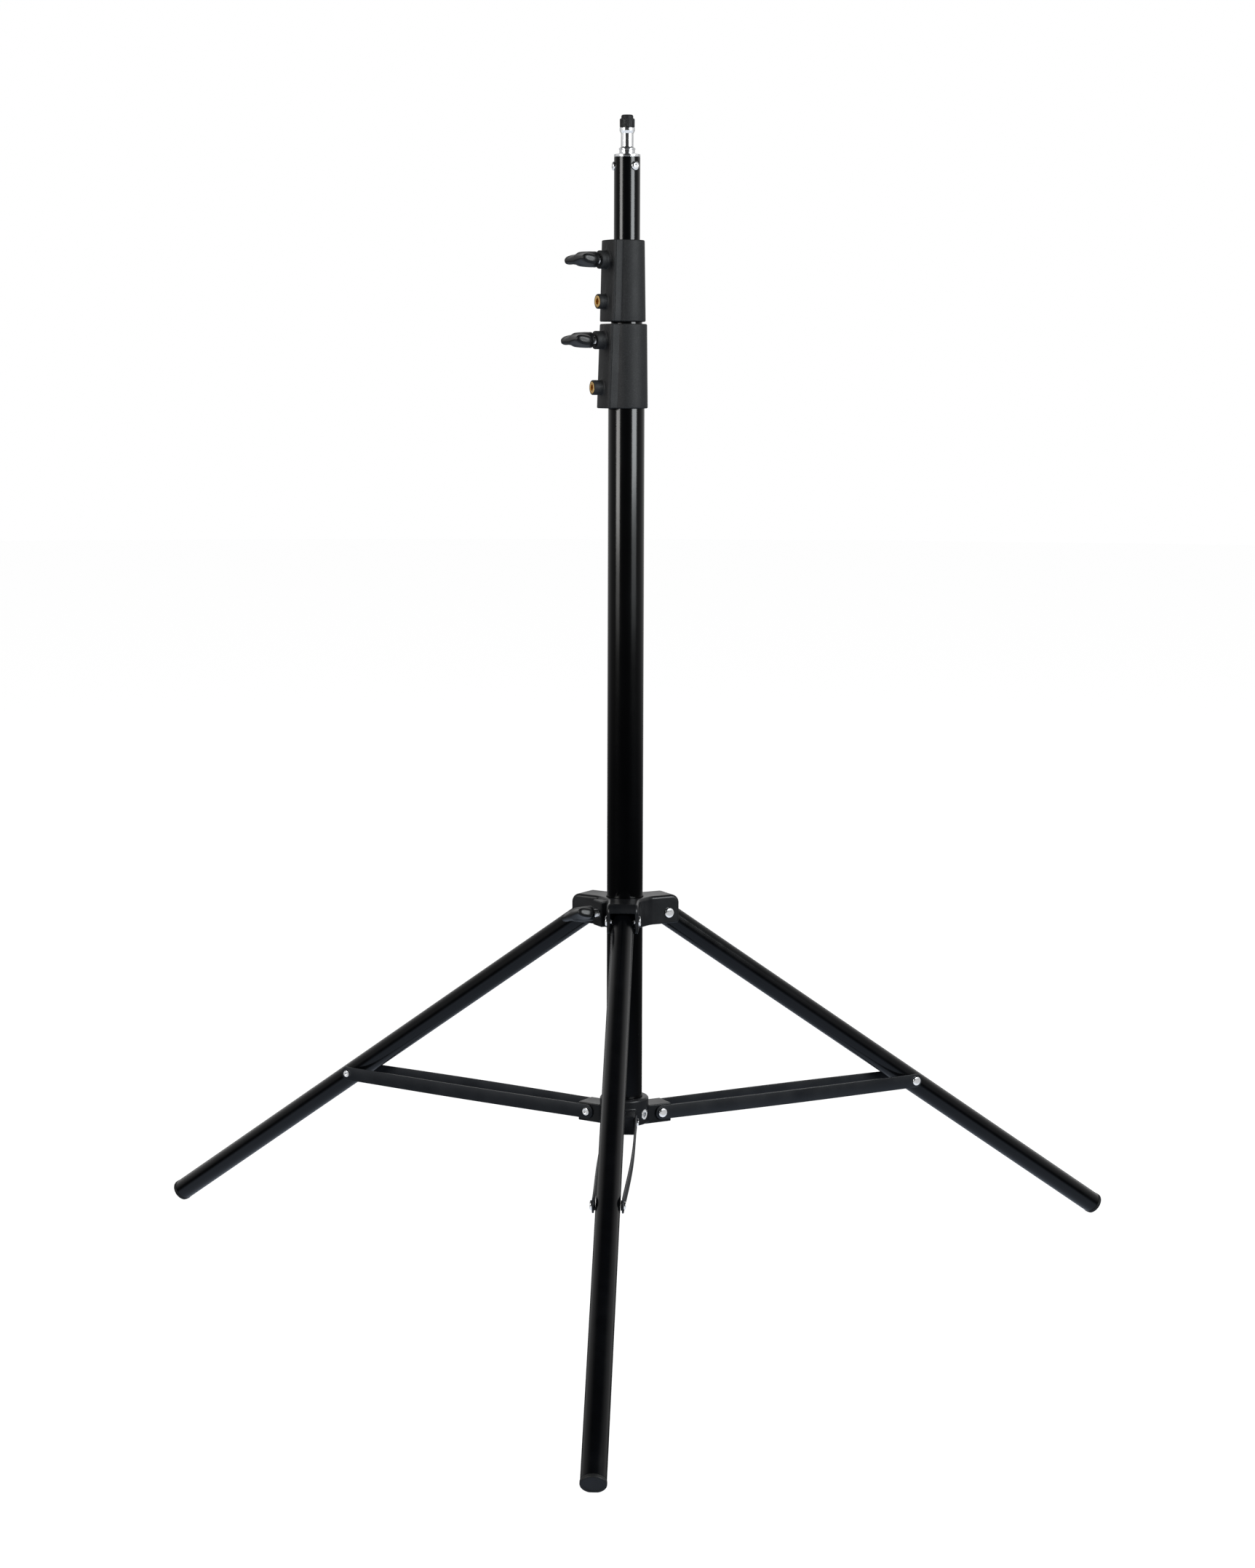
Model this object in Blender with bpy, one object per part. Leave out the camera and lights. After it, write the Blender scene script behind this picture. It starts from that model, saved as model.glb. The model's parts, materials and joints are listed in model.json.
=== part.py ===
"""Three-section lighting stand on a folding three-leg base, in metres, +Z up.

The front leg points along -Y. z = 0 is the floor and the origin is the middle of the box
around the three feet, so the column stands a little behind it. The column telescopes in
two stages, each locked by a moulded clamp with a wing knob, and ends in a chrome spigot.
A sliding spider carries the legs; pairs of flat bars brace them to a fixed lower collar.
"""
import math

import bmesh
import bpy
from mathutils import Matrix, Vector

# Driving dimensions -------------------------------------------------------------------
BASE_R = 0.0175            # base tube, 35 mm
MID_R = 0.0150             # middle tube, 30 mm
TOP_R = 0.0125             # top tube, 25 mm
WALL = 0.0015              # wall of the column tubes
GAP = 0.0003               # clearance between pieces that touch
PLAY = 0.0006              # gap round a piece that slides
OVER = 0.0100              # how far a cutting tool runs past what it cuts

COLUMN_BOTTOM = 0.1680     # lower end of the base tube
BASE_TUBE_TOP = 0.9000     # upper end of the base tube, inside its clamp
MID_TUBE_BOTTOM = 0.2100
MID_TUBE_TOP = 0.9800      # inside the middle clamp
TOP_TUBE_BOTTOM = 0.2500
TOP_TUBE_TOP = 1.1020

ARM_AZIMUTH = {"front": -90.0, "right": 30.0, "left": 150.0}
KNOB_AZIMUTH = {"base": -154.2, "mid": -150.6, "spider": -150.0}

LEG_R = 0.0110             # leg tube, 22 mm
LEG_WALL = 0.0012
LEG_PIVOT_R = 0.0410       # leg pivot, from the column axis
LEG_PIVOT_Z = 0.3733
LEG_LENGTH = 0.6460        # leg pivot to the end face of the foot
LEG_STUB = 0.0060          # tube beyond the pivot, inside the spider
LEG_JOINT = 0.3547         # leg pivot to the brace bolt, along the leg
BRACE_PIVOT_R = 0.0355     # brace pivot on the lower collar
FOOT_R = 0.0113
FOOT_THICK = 0.0036        # flange of the foot, beyond the tube's end
FOOT_FLAT = 0.0010         # worn off the lowest edge of each foot

BAR_INNER = 0.0124         # inner face of a brace bar, from the middle plane of its leg
BAR_THICK = 0.0016
BAR_HEIGHT = 0.0140
BOLT_R = 0.0025
HOLE_R = BOLT_R + GAP
WASHER_R = 0.0046
RIVET_HEAD = (0.0049, 0.0022)      # radius and height of a domed head
BOLT_DOME = (0.0046, 0.0024)       # far end of a tongue's bolt
BOLT_CAP = (0.0036, 0.0016)        # its socket end
BRACE_DOME = (0.0045, 0.0024)      # the same two ends of a brace's outer bolt
BRACE_CAP = (0.0032, 0.0016)

ARM_ROOT_R = 0.0160        # inner end of the arms, buried in their hubs
SPIDER_TOP = 0.3908
SPIDER_BOTTOM = 0.3626
SPIDER_END_R = 0.0530      # outer end of an arm
SPIDER_HUB_R = 0.0235
SPIDER_CORNER = 0.0080     # rounding of an arm's upper outer edge
SPIDER_WEB = 0.0028        # thickness over the channel
SPIDER_LIP = 0.3825        # the channel is open below this at its outer end
SPIDER_BOSS_ROOT = 0.0195
SPIDER_BOSS_END = 0.0306
SPIDER_BOSS_HALF = 0.0088
SPIDER_KNOB_Z = 0.3764
SPIDER_KNOB_START = 0.0365
SPIDER_KNOB_TILT = 15.0    # how far its wings are turned from level
CHEEK_INNER = 0.0122
CHEEK_OUTER = 0.0152
RIVET_R = 0.0030

COLLAR_HUB_R = 0.0240
COLLAR_HUB_BOTTOM = 0.1650
COLLAR_HUB_TOP = 0.1910
TONGUE_END_R = 0.0462
TONGUE_HALF_WIDTH = 0.0121
TONGUE_TOP = 0.1812
TONGUE_BOTTOM = 0.1627
COLLAR_SCREW_AZIMUTH = -30.0
COLLAR_SCREW_R = 0.0050
COLLAR_SCREW_LENGTH = 0.0052
COLLAR_SCREW_RISE = 0.0022 # above the brace bolts

CLAMP_LUG_HALF_WIDTH = 0.0140
LUG_CORNER = 0.0016        # rounding of the lug's upright edges
LUG_BULGE = 0.0016         # rise of its face in the middle
CLAMP_CHAMFER = 0.0012
BOSS_ROOT = 0.0160         # inner end of a boss, buried in its clamp
KNOB_BOSS_R = 0.0087
SCREW_BOSS_R = 0.0071
SET_SCREW_R = 0.0057
SET_SCREW_LENGTH = 0.0056
STUD_R = 0.0040
STUD_BACK = 0.0044         # inner end of a stud, from the tube that it locks
STUD_IN_KNOB = 0.0140
PAD_R = 0.0045
PAD_ROOT = 0.0100          # inner end of a pad, before it is cut to the tube
PAD_SEAT = 0.0004          # from a pad to its tube
PAD_BORE = 0.0062          # depth of a pad's bore, from the bore for the tube
PAD_TRAVEL = 0.0015        # one turn of the knob's screw
KNOB_LENGTH = 0.0250
KNOB_HALF_SPAN = 0.0210

# Each clamp's shape at its lower and upper end is the radius of the round side, the
# length of the lug and where the lug's flat flank starts.
CLAMPS = {
    "base": {"bottom": 0.8651, "top": 0.9453,
             "bottom_shape": (0.0205, 0.0251, 0.0170),
             "top_shape": (0.0196, 0.0222, 0.0145),
             "knob_z": 0.9298, "knob_boss_end": 0.0335, "knob_start": 0.0364,
             "screw_z": 0.8849, "screw_boss_end": 0.0359},
    "mid": {"bottom": 0.9473, "top": 1.0243,
            "bottom_shape": (0.0182, 0.0221, 0.0140),
            "top_shape": (0.01705, 0.0201, 0.0121),
            "knob_z": 1.0055, "knob_boss_end": 0.0302, "knob_start": 0.0330,
            "screw_z": 0.9662, "screw_boss_end": 0.0314},
}

PISTON_LENGTH = 0.0120     # flange that runs in the tube below
PISTON_PLUG = 0.0250       # part inside its own tube
PISTON_BORE_R = 0.0040

SPIGOT_R = 0.0079
SPIGOT_HEAD_R = 0.0073
SPIGOT_WAIST_R = 0.0060
SPIGOT_PLUG = 0.0200       # length inside the top tube
SPIGOT_SHOULDER = 1.1046
SPIGOT_FLANGE_TOP = 1.1100
SPIGOT_HEAD_BOTTOM = 1.1240
CAP_STUD_R = 0.0046        # threaded end under the cap
CAP_BORE_R = 0.0050
CAP_BOTTOM = 1.1298
CAP_TOP = 1.1415
CAP_SKIRT_R = 0.0071
CAP_SKIRT_TOP = CAP_TOP - 0.0044
CAP_RIBS = 24
SPIGOT_SCREW_Z = 1.0936
SPIGOT_SCREW_R = 0.0020
SPIGOT_SCREW_HEAD_R = 0.0042
SPIGOT_SCREW_START = 0.0066
FIRST_SPIGOT_SCREW = -170.5 # azimuth, the others at 120 degrees from it

ROUND = 32                 # sides of the large turned pieces
SMALL = 12                 # sides of bolts, studs and screws
LEG_SIDES = 20

# Sizes that follow from them ----------------------------------------------------------
REACH = math.hypot(LEG_LENGTH, FOOT_R)
LEG_SLOPE = (math.asin((LEG_PIVOT_Z + FOOT_FLAT) / REACH)
             - math.atan2(FOOT_R, LEG_LENGTH))
FOOT_END_R = LEG_PIVOT_R + LEG_LENGTH * math.cos(LEG_SLOPE)
FRONT_EXTENT = FOOT_END_R + FOOT_R * math.sin(LEG_SLOPE)
BACK_EXTENT = FOOT_END_R / 2 + FOOT_R * math.sqrt(1 - (math.cos(LEG_SLOPE) / 2) ** 2)
COLUMN_Y = (FRONT_EXTENT - BACK_EXTENT) / 2
BRACE_PIVOT_Z = LEG_PIVOT_Z - LEG_JOINT * math.sin(LEG_SLOPE)
BRACE_LENGTH = LEG_PIVOT_R + LEG_JOINT * math.cos(LEG_SLOPE) - BRACE_PIVOT_R


# Materials ----------------------------------------------------------------------------
def principled(name, color, roughness, metallic):
    material = bpy.data.materials.new(name)
    material.use_nodes = True
    shader = material.node_tree.nodes["Principled BSDF"]
    shader.inputs["Base Color"].default_value = (*color, 1.0)
    shader.inputs["Roughness"].default_value = roughness
    shader.inputs["Metallic"].default_value = metallic
    return material


def make_materials():
    return {
        "tube": principled("black_tube", (0.012, 0.013, 0.015), 0.18, 0.3),
        "leg": principled("black_leg_tube", (0.018, 0.020, 0.024), 0.28, 0.3),
        "clamp": principled("charcoal_moulding", (0.075, 0.078, 0.082), 0.62, 0.0),
        "casting": principled("black_casting", (0.035, 0.037, 0.042), 0.45, 0.0),
        "bar": principled("black_bar", (0.040, 0.043, 0.050), 0.42, 0.2),
        "knob": principled("black_knob", (0.030, 0.032, 0.036), 0.45, 0.0),
        "chrome": principled("chrome_steel", (0.62, 0.63, 0.65), 0.15, 1.0),
        "brass": principled("brass_screw", (0.60, 0.42, 0.16), 0.28, 1.0),
        "rubber": principled("black_rubber", (0.022, 0.023, 0.025), 0.65, 0.0),
        "nylon": principled("black_nylon", (0.045, 0.046, 0.048), 0.55, 0.0),
    }


# Building blocks ----------------------------------------------------------------------
ALONG = {
    "X": Matrix(((0, 0, 1, 0), (1, 0, 0, 0), (0, 1, 0, 0), (0, 0, 0, 1))),
    "Y": Matrix(((0, 1, 0, 0), (0, 0, 1, 0), (1, 0, 0, 0), (0, 0, 0, 1))),
    "Z": Matrix.Identity(4),
}


def add_empty(name, parent=None, location=(0, 0, 0), rotation=(0, 0, 0)):
    empty = bpy.data.objects.new(name, None)
    bpy.context.collection.objects.link(empty)
    empty.parent = parent
    empty.location = location
    empty.rotation_euler = rotation
    return empty


def add_piece(name, mesh_data, material, parent=None, location=(0, 0, 0),
              rotation=(0, 0, 0)):
    """Link one named solid; mesh_data is a bmesh, which is freed, or a finished mesh."""
    mesh = mesh_data
    if isinstance(mesh_data, bmesh.types.BMesh):
        bmesh.ops.recalc_face_normals(mesh_data, faces=mesh_data.faces)
        mesh = bpy.data.meshes.new(name)
        mesh_data.to_mesh(mesh)
        mesh_data.free()
        mesh.shade_smooth()
        mesh.set_sharp_from_angle(angle=math.radians(35))
    if material is not None and not mesh.materials:
        mesh.materials.append(material)
    piece = bpy.data.objects.new(name, mesh)
    bpy.context.collection.objects.link(piece)
    piece.parent = parent
    piece.location = location
    piece.rotation_euler = rotation
    return piece


def turned(profile, sides, axis="Z", closed=False):
    """Solid of revolution from (radius, height) points; an open profile gets flat ends."""
    bm = bmesh.new()
    rings = []
    for radius, height in profile:
        angles = [2 * math.pi * k / sides for k in range(sides)]
        rings.append([bm.verts.new((radius * math.cos(a), radius * math.sin(a), height))
                      for a in angles])
    pairs = list(zip(rings, rings[1:]))
    if closed:
        pairs.append((rings[-1], rings[0]))
    else:
        bm.faces.new(rings[0][::-1])
        bm.faces.new(rings[-1])
    for lower, upper in pairs:
        for k in range(sides):
            n = (k + 1) % sides
            bm.faces.new((lower[k], lower[n], upper[n], upper[k]))
    bmesh.ops.transform(bm, matrix=ALONG[axis], verts=bm.verts)
    return bm


def rod(radius, start, end, sides=SMALL, axis="Z"):
    return turned([(radius, start), (radius, end)], sides, axis)


def tube(outer, inner, start, end, sides=ROUND, axis="Z"):
    profile = [(outer, start), (outer, end), (inner, end), (inner, start)]
    return turned(profile, sides, axis, closed=True)


def slab(outline, low, high, holes=(), axis="Y"):
    """Plate between low and high along axis; outline and holes are lists of 2D points."""
    bm = bmesh.new()
    edges = []
    for loop in (outline, *holes):
        verts = [bm.verts.new((u, v, low)) for u, v in loop]
        edges += [bm.edges.new((verts[k - 1], verts[k])) for k in range(len(verts))]
    if holes:
        bmesh.ops.triangle_fill(bm, edges=edges, use_beauty=True)
    else:
        bm.faces.new(bm.verts)
    raised = bmesh.ops.extrude_face_region(bm, geom=bm.faces[:])
    top = [item for item in raised["geom"] if isinstance(item, bmesh.types.BMVert)]
    bmesh.ops.translate(bm, vec=(0, 0, high - low), verts=top)
    turn = Matrix.Rotation(math.radians(90), 4, "X") if axis == "Y" else Matrix.Identity(4)
    bmesh.ops.transform(bm, matrix=turn, verts=bm.verts)
    return bm


def arc(center, radius, start, end, steps):
    """Points on a circular arc, angles in degrees, both ends included."""
    angles = [math.radians(start + (end - start) * k / steps) for k in range(steps + 1)]
    return [(center[0] + radius * math.cos(a), center[1] + radius * math.sin(a))
            for a in angles]


def circle(center, radius, sides=SMALL):
    return arc(center, radius, 0, 360, sides)[:-1]


def cut(piece, tool_mesh, operation, parent=None, location=(0, 0, 0), rotation=(0, 0, 0)):
    """Add an exact Boolean to piece with a hidden wire tool made from tool_mesh."""
    tool = add_piece(f"tool_{piece.name}_{len(piece.modifiers)}", tool_mesh, None,
                     parent, location, rotation)
    tool.hide_render = True
    tool.display_type = "WIRE"
    boolean = piece.modifiers.new(operation.lower(), "BOOLEAN")
    boolean.operation = operation
    boolean.solver = "EXACT"
    boolean.object = tool


def radial(azimuth, radius, height):
    angle = math.radians(azimuth)
    return Vector((radius * math.cos(angle), radius * math.sin(angle), height))


# Column -------------------------------------------------------------------------------
def base_column(stand, materials):
    tube_mesh = tube(BASE_R, BASE_R - WALL, COLUMN_BOTTOM, BASE_TUBE_TOP)
    add_piece("base_tube", tube_mesh, materials["tube"], stand)
    plug_r = BASE_R - WALL - GAP
    shoulder = COLUMN_BOTTOM - GAP
    plug = turned([(BASE_R - 0.0006, shoulder - 0.0022),
                   (BASE_R, shoulder - 0.0016), (BASE_R, shoulder), (plug_r, shoulder),
                   (plug_r, shoulder + 0.0140)], ROUND)
    add_piece("base_tube_plug", plug, materials["nylon"], stand)


def section(name, radius, bore_r, bottom, top, parent, materials):
    """A telescoping tube on a guide piston that runs in the tube below it."""
    add_piece(f"{name}_tube", tube(radius, radius - WALL, bottom, top),
              materials["tube"], parent)
    plug_r = radius - WALL - GAP
    flange_r = bore_r - GAP
    flange_top = bottom - GAP
    flange_bottom = flange_top - PISTON_LENGTH
    chamfer = 0.0008
    plug_top = flange_top + PISTON_PLUG
    piston = turned([(PISTON_BORE_R, flange_bottom), (flange_r - chamfer, flange_bottom),
                     (flange_r, flange_bottom + chamfer), (flange_r, flange_top),
                     (plug_r, flange_top), (plug_r, plug_top),
                     (PISTON_BORE_R, plug_top)], ROUND, closed=True)
    add_piece(f"{name}_piston", piston, materials["nylon"], parent)


def clamp_outline(round_r, lug_length, side_start):
    """Half-round body with a flat-sided lug along +X, as a counter-clockwise outline."""
    half = CLAMP_LUG_HALF_WIDTH
    corner = LUG_CORNER
    flare_r = round_r + 0.0045
    flare = math.degrees(math.acos(side_start / flare_r))
    back = arc((0, 0), round_r, flare, 360 - flare, 18)
    lower_corner = arc((lug_length - corner, -half + corner), corner, -90, -15, 2)
    upper_corner = [(x, -y) for x, y in reversed(lower_corner)]
    face = [(lug_length + LUG_BULGE * (1 - (t / 3) ** 2), half * t / 4)
            for t in (-2, 0, 2)]
    return (back + [(side_start, -half)] + lower_corner + face + upper_corner
            + [(side_start, half)])


def clamp_blank(sizes):
    """Tapered clamp moulding before its bosses and bores, its lug along +X."""
    bm = bmesh.new()
    bottom, top = sizes["bottom"], sizes["top"]
    inset = 0.94               # outline at the two ends, against the one inside them
    levels = ((bottom, 0.0, inset), (bottom + CLAMP_CHAMFER, 0.0, 1.0),
              (top - CLAMP_CHAMFER, 1.0, 1.0), (top, 1.0, inset))
    rings = []
    for height, mix, shrink in levels:
        shape = [low + (high - low) * mix
                 for low, high in zip(sizes["bottom_shape"], sizes["top_shape"])]
        rings.append([bm.verts.new((x * shrink, y * shrink, height))
                      for x, y in clamp_outline(*shape)])
    count = len(rings[0])
    for lower, upper in zip(rings, rings[1:]):
        for k in range(count):
            n = (k + 1) % count
            bm.faces.new((lower[k], lower[n], upper[n], upper[k]))
    bm.faces.new(rings[0][::-1])
    bm.faces.new(rings[-1])
    return bm


def boss(radius, end):
    """Round boss along X with a chamfered end."""
    chamfer = 0.0007
    return turned([(radius + 0.0003, BOSS_ROOT), (radius, end - chamfer),
                   (radius - chamfer, end)], SMALL, "X")


def clamp_body(name, bores, parent, materials):
    """Clamp with a knob boss above and a set screw boss below, bored for two tubes."""
    sizes = CLAMPS[name]
    knob_place = (0, 0, sizes["knob_z"])
    screw_place = (0, 0, sizes["screw_z"])
    knob_end = sizes["knob_boss_end"]
    screw_end = sizes["screw_boss_end"]
    node = f"{name}_clamp"
    body = add_piece(node, clamp_blank(sizes), materials["clamp"], parent,
                     rotation=(0, 0, math.radians(KNOB_AZIMUTH[name])))
    cut(body, boss(KNOB_BOSS_R, knob_end), "UNION", body, knob_place)
    cut(body, boss(SCREW_BOSS_R, screw_end), "UNION", body, screw_place)
    lower_r, upper_r, step_z = bores
    bore = turned([(lower_r, sizes["bottom"] - OVER), (lower_r, step_z),
                   (upper_r, step_z), (upper_r, sizes["top"] + OVER)], ROUND)
    cut(body, bore, "DIFFERENCE", body)
    pad_end = upper_r + PAD_BORE
    stud_bore = turned([(PAD_R + GAP, PAD_ROOT), (PAD_R + GAP, pad_end),
                        (STUD_R + GAP, pad_end), (STUD_R + GAP, knob_end + OVER)],
                       SMALL, "X")
    cut(body, stud_bore, "DIFFERENCE", body, knob_place)
    screw_bore = rod(SET_SCREW_R + GAP, screw_end - SET_SCREW_LENGTH - 0.0008,
                     screw_end + OVER, SMALL, "X")
    cut(body, screw_bore, "DIFFERENCE", body, screw_place)
    set_screw(f"{node}_set_screw", SET_SCREW_R, SET_SCREW_LENGTH, 0.0034,
              materials["brass"], body, (screw_end + GAP, 0, sizes["screw_z"]))


def set_screw(name, radius, length, socket_r, material, parent, location, turn=(0, 0, 0)):
    """Headless screw along X with a hexagon socket; its face is at the given location."""
    mesh = turned([(radius, -length), (radius, -0.0005), (radius - 0.0005, 0)], SMALL, "X")
    screw = add_piece(name, mesh, material, parent, location, turn)
    cut(screw, rod(socket_r, -length / 2, OVER, 6, "X"), "DIFFERENCE", screw)


def wings_mesh(start):
    """The knob's two swept wings about the X axis, from x = start outwards."""
    bm = bmesh.new()
    stations = 11
    sides = 12
    rings = []
    for k in range(stations):
        t = -1 + 2 * k / (stations - 1)
        span = abs(t)
        inner = start + 0.0012 + 0.0120 * max(0.0, span - 0.25)
        outer = start + KNOB_LENGTH - 0.0016 * span
        round_off = math.sqrt(max(0.0, 1 - (max(0.0, span - 0.80) / 0.21) ** 2))
        half_length = (outer - inner) / 2 * (0.35 + 0.65 * round_off)
        half_height = (0.0036 + 0.0037 * math.exp(-(span / 0.42) ** 2)) * round_off
        half_height = max(half_height, 0.0008)
        middle = (inner + outer) / 2
        twist = math.radians(9) * t
        ring = []
        for j in range(sides):
            angle = 2 * math.pi * j / sides
            power = 0.75
            u = half_length * math.copysign(abs(math.cos(angle)) ** power, math.cos(angle))
            w = half_height * math.copysign(abs(math.sin(angle)) ** power, math.sin(angle))
            x = middle + u * math.cos(twist) - w * math.sin(twist)
            z = u * math.sin(twist) + w * math.cos(twist)
            ring.append(bm.verts.new((x, KNOB_HALF_SPAN * t, z)))
        rings.append(ring)
    for lower, upper in zip(rings, rings[1:]):
        for j in range(sides):
            n = (j + 1) % sides
            bm.faces.new((lower[j], lower[n], upper[n], upper[j]))
    bm.faces.new(rings[0])
    bm.faces.new(rings[-1][::-1])
    return bm


def lock_knob(name, tube_r, boss_end, knob_start, parent, height, materials, tilt=0.0):
    """Pressure pad, threaded stud and wing knob on one radial axis at the given height."""
    azimuth = KNOB_AZIMUTH[name]
    axis = add_empty(f"{name}_knob_axis", parent, (0, 0, height),
                     (math.radians(tilt), 0, math.radians(azimuth)))
    stud_start = tube_r + STUD_BACK
    pad = add_piece(f"{name}_pad", rod(PAD_R, PAD_ROOT, stud_start - GAP, SMALL, "X"),
                    materials["nylon"], axis)
    cut(pad, rod(tube_r + PAD_SEAT, -OVER, OVER, ROUND), "DIFFERENCE", axis,
        rotation=(-math.radians(tilt), 0, 0))
    stud_end = knob_start + STUD_IN_KNOB
    chamfer = 0.0004
    stud = turned([(STUD_R - chamfer, stud_start), (STUD_R, stud_start + chamfer),
                   (STUD_R, stud_end)], SMALL, "X")
    add_piece(f"{name}_knob_stud", stud, materials["chrome"], axis)
    knob = add_piece(f"{name}_knob", wings_mesh(knob_start), materials["knob"], axis)
    hub = turned([(0.0066, knob_start), (0.0073, knob_start + 0.0010),
                  (0.0070, knob_start + 0.0150), (0.0050, knob_start + 0.0190)], SMALL, "X")
    cut(knob, hub, "UNION", axis)
    cut(knob, rod(STUD_R + GAP, boss_end, stud_end + GAP, SMALL, "X"), "DIFFERENCE", axis)


def spigot_screws(stand, spigot, materials):
    """Three button screws through the top tube into the spigot's plug."""
    top_tube = bpy.data.objects["top_tube"]
    place = (0, 0, SPIGOT_SCREW_Z)
    head = TOP_R + GAP
    for number in range(3):
        turn = (0, 0, math.radians(FIRST_SPIGOT_SCREW + 120 * number))
        for drilled in (top_tube, spigot):
            hole = rod(SPIGOT_SCREW_R + GAP, SPIGOT_SCREW_START - 2 * GAP,
                       TOP_R + 0.0025, SMALL, "X")
            cut(drilled, hole, "DIFFERENCE", stand, place, turn)
        screw = turned([(SPIGOT_SCREW_R, SPIGOT_SCREW_START), (SPIGOT_SCREW_R, head),
                        (SPIGOT_SCREW_HEAD_R, head),
                        (SPIGOT_SCREW_HEAD_R, head + 0.0008),
                        (SPIGOT_SCREW_HEAD_R - 0.0010, head + 0.0017),
                        (0.0017, head + 0.0019), (0.0017, head + 0.0008)], SMALL, "X")
        add_piece(f"spigot_screw_{number + 1}", screw, materials["chrome"], stand, place,
                  turn)


def spigot_assembly(stand, materials):
    """Chrome adapter in the top tube: plug, collar, flange, waist, head and cap stud."""
    plug_r = TOP_R - WALL - GAP
    seat = TOP_TUBE_TOP + GAP
    chamfer = 0.0005
    collar_r = TOP_R + 0.0002
    stud_top = CAP_TOP - 0.0034
    profile = [(plug_r - chamfer, seat - SPIGOT_PLUG), (plug_r, seat - SPIGOT_PLUG + chamfer),
               (plug_r, seat), (collar_r, seat), (collar_r, SPIGOT_SHOULDER - 0.0004),
               (collar_r - 0.0004, SPIGOT_SHOULDER), (SPIGOT_R, SPIGOT_SHOULDER),
               (SPIGOT_R, SPIGOT_FLANGE_TOP - 0.0003),
               (SPIGOT_R - 0.0003, SPIGOT_FLANGE_TOP),
               (SPIGOT_WAIST_R, SPIGOT_FLANGE_TOP + 0.0016),
               (SPIGOT_WAIST_R, SPIGOT_HEAD_BOTTOM - 0.0006),
               (SPIGOT_HEAD_R, SPIGOT_HEAD_BOTTOM + 0.0026),
               (SPIGOT_HEAD_R, CAP_BOTTOM - GAP), (CAP_STUD_R, CAP_BOTTOM - GAP),
               (CAP_STUD_R, stud_top - chamfer), (CAP_STUD_R - chamfer, stud_top)]
    spigot = add_piece("spigot", turned(profile, ROUND), materials["chrome"], stand)
    spigot_screws(stand, spigot, materials)


def spigot_cap(parent, materials):
    """Push-on cap: ribbed skirt with a small domed top, open below."""
    levels = ((CAP_BOTTOM, CAP_SKIRT_R), (CAP_SKIRT_TOP, CAP_SKIRT_R),
              (CAP_SKIRT_TOP + 0.0010, CAP_SKIRT_R - 0.0013), (CAP_TOP - 0.0009, 0.0057),
              (CAP_TOP, 0.0048))
    bm = bmesh.new()
    rings = []
    for height, radius in levels:
        depth = 0.0003 if height <= CAP_SKIRT_TOP else 0.0
        ring = []
        for k in range(2 * CAP_RIBS):
            angle = math.pi * k / CAP_RIBS
            r = radius - depth * (k % 2)
            ring.append(bm.verts.new((r * math.cos(angle), r * math.sin(angle), height)))
        rings.append(ring)
    for lower, upper in zip(rings, rings[1:]):
        for k in range(2 * CAP_RIBS):
            n = (k + 1) % (2 * CAP_RIBS)
            bm.faces.new((lower[k], lower[n], upper[n], upper[k]))
    bm.faces.new(rings[0][::-1])
    bm.faces.new(rings[-1])
    cap = add_piece("spigot_cap", bm, materials["rubber"], parent)
    bore = rod(CAP_BORE_R, CAP_BOTTOM - OVER, CAP_TOP - 0.0024)
    cut(cap, bore, "DIFFERENCE", parent)


# Spider -------------------------------------------------------------------------------
def spider_casting(stand, materials):
    """Sliding hub with three channel arms, open below, that the legs hinge in."""
    low, high = SPIDER_BOTTOM, SPIDER_TOP
    chamfer = 0.0010
    hub = turned([(SPIDER_HUB_R, low), (SPIDER_HUB_R, high - chamfer),
                  (SPIDER_HUB_R - chamfer, high)], ROUND)
    spider = add_piece("spider", hub, materials["casting"], stand)
    end = SPIDER_END_R
    center = (end - SPIDER_CORNER, high - SPIDER_CORNER)
    crown = arc(center, SPIDER_CORNER, 0, 90, 4)
    side = [(ARM_ROOT_R, low), (end, low)] + crown + [(ARM_ROOT_R, high)]
    for azimuth in ARM_AZIMUTH.values():
        cut(spider, slab(side, -CHEEK_OUTER, CHEEK_OUTER), "UNION", stand,
            rotation=(0, 0, math.radians(azimuth)))
    ceiling = arc(center, SPIDER_CORNER - SPIDER_WEB, 0, 90, 2)
    under = ([(SPIDER_HUB_R, low - OVER), (end + OVER, low - OVER),
              (end + OVER, SPIDER_LIP), (end - SPIDER_WEB, SPIDER_LIP)] + ceiling[1:]
             + [(SPIDER_HUB_R, high - SPIDER_WEB)])
    for azimuth in ARM_AZIMUTH.values():
        turn = (0, 0, math.radians(azimuth))
        cut(spider, slab(under, -CHEEK_INNER, CHEEK_INNER), "DIFFERENCE", stand,
            rotation=turn)
        hole = rod(RIVET_R + GAP, -2 * OVER, 2 * OVER, SMALL, "Y")
        cut(spider, hole, "DIFFERENCE", stand, radial(azimuth, LEG_PIVOT_R, LEG_PIVOT_Z),
            turn)
    cut(spider, rod(BASE_R + PLAY, low - OVER, high + OVER, ROUND), "DIFFERENCE", stand)
    return spider


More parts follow.
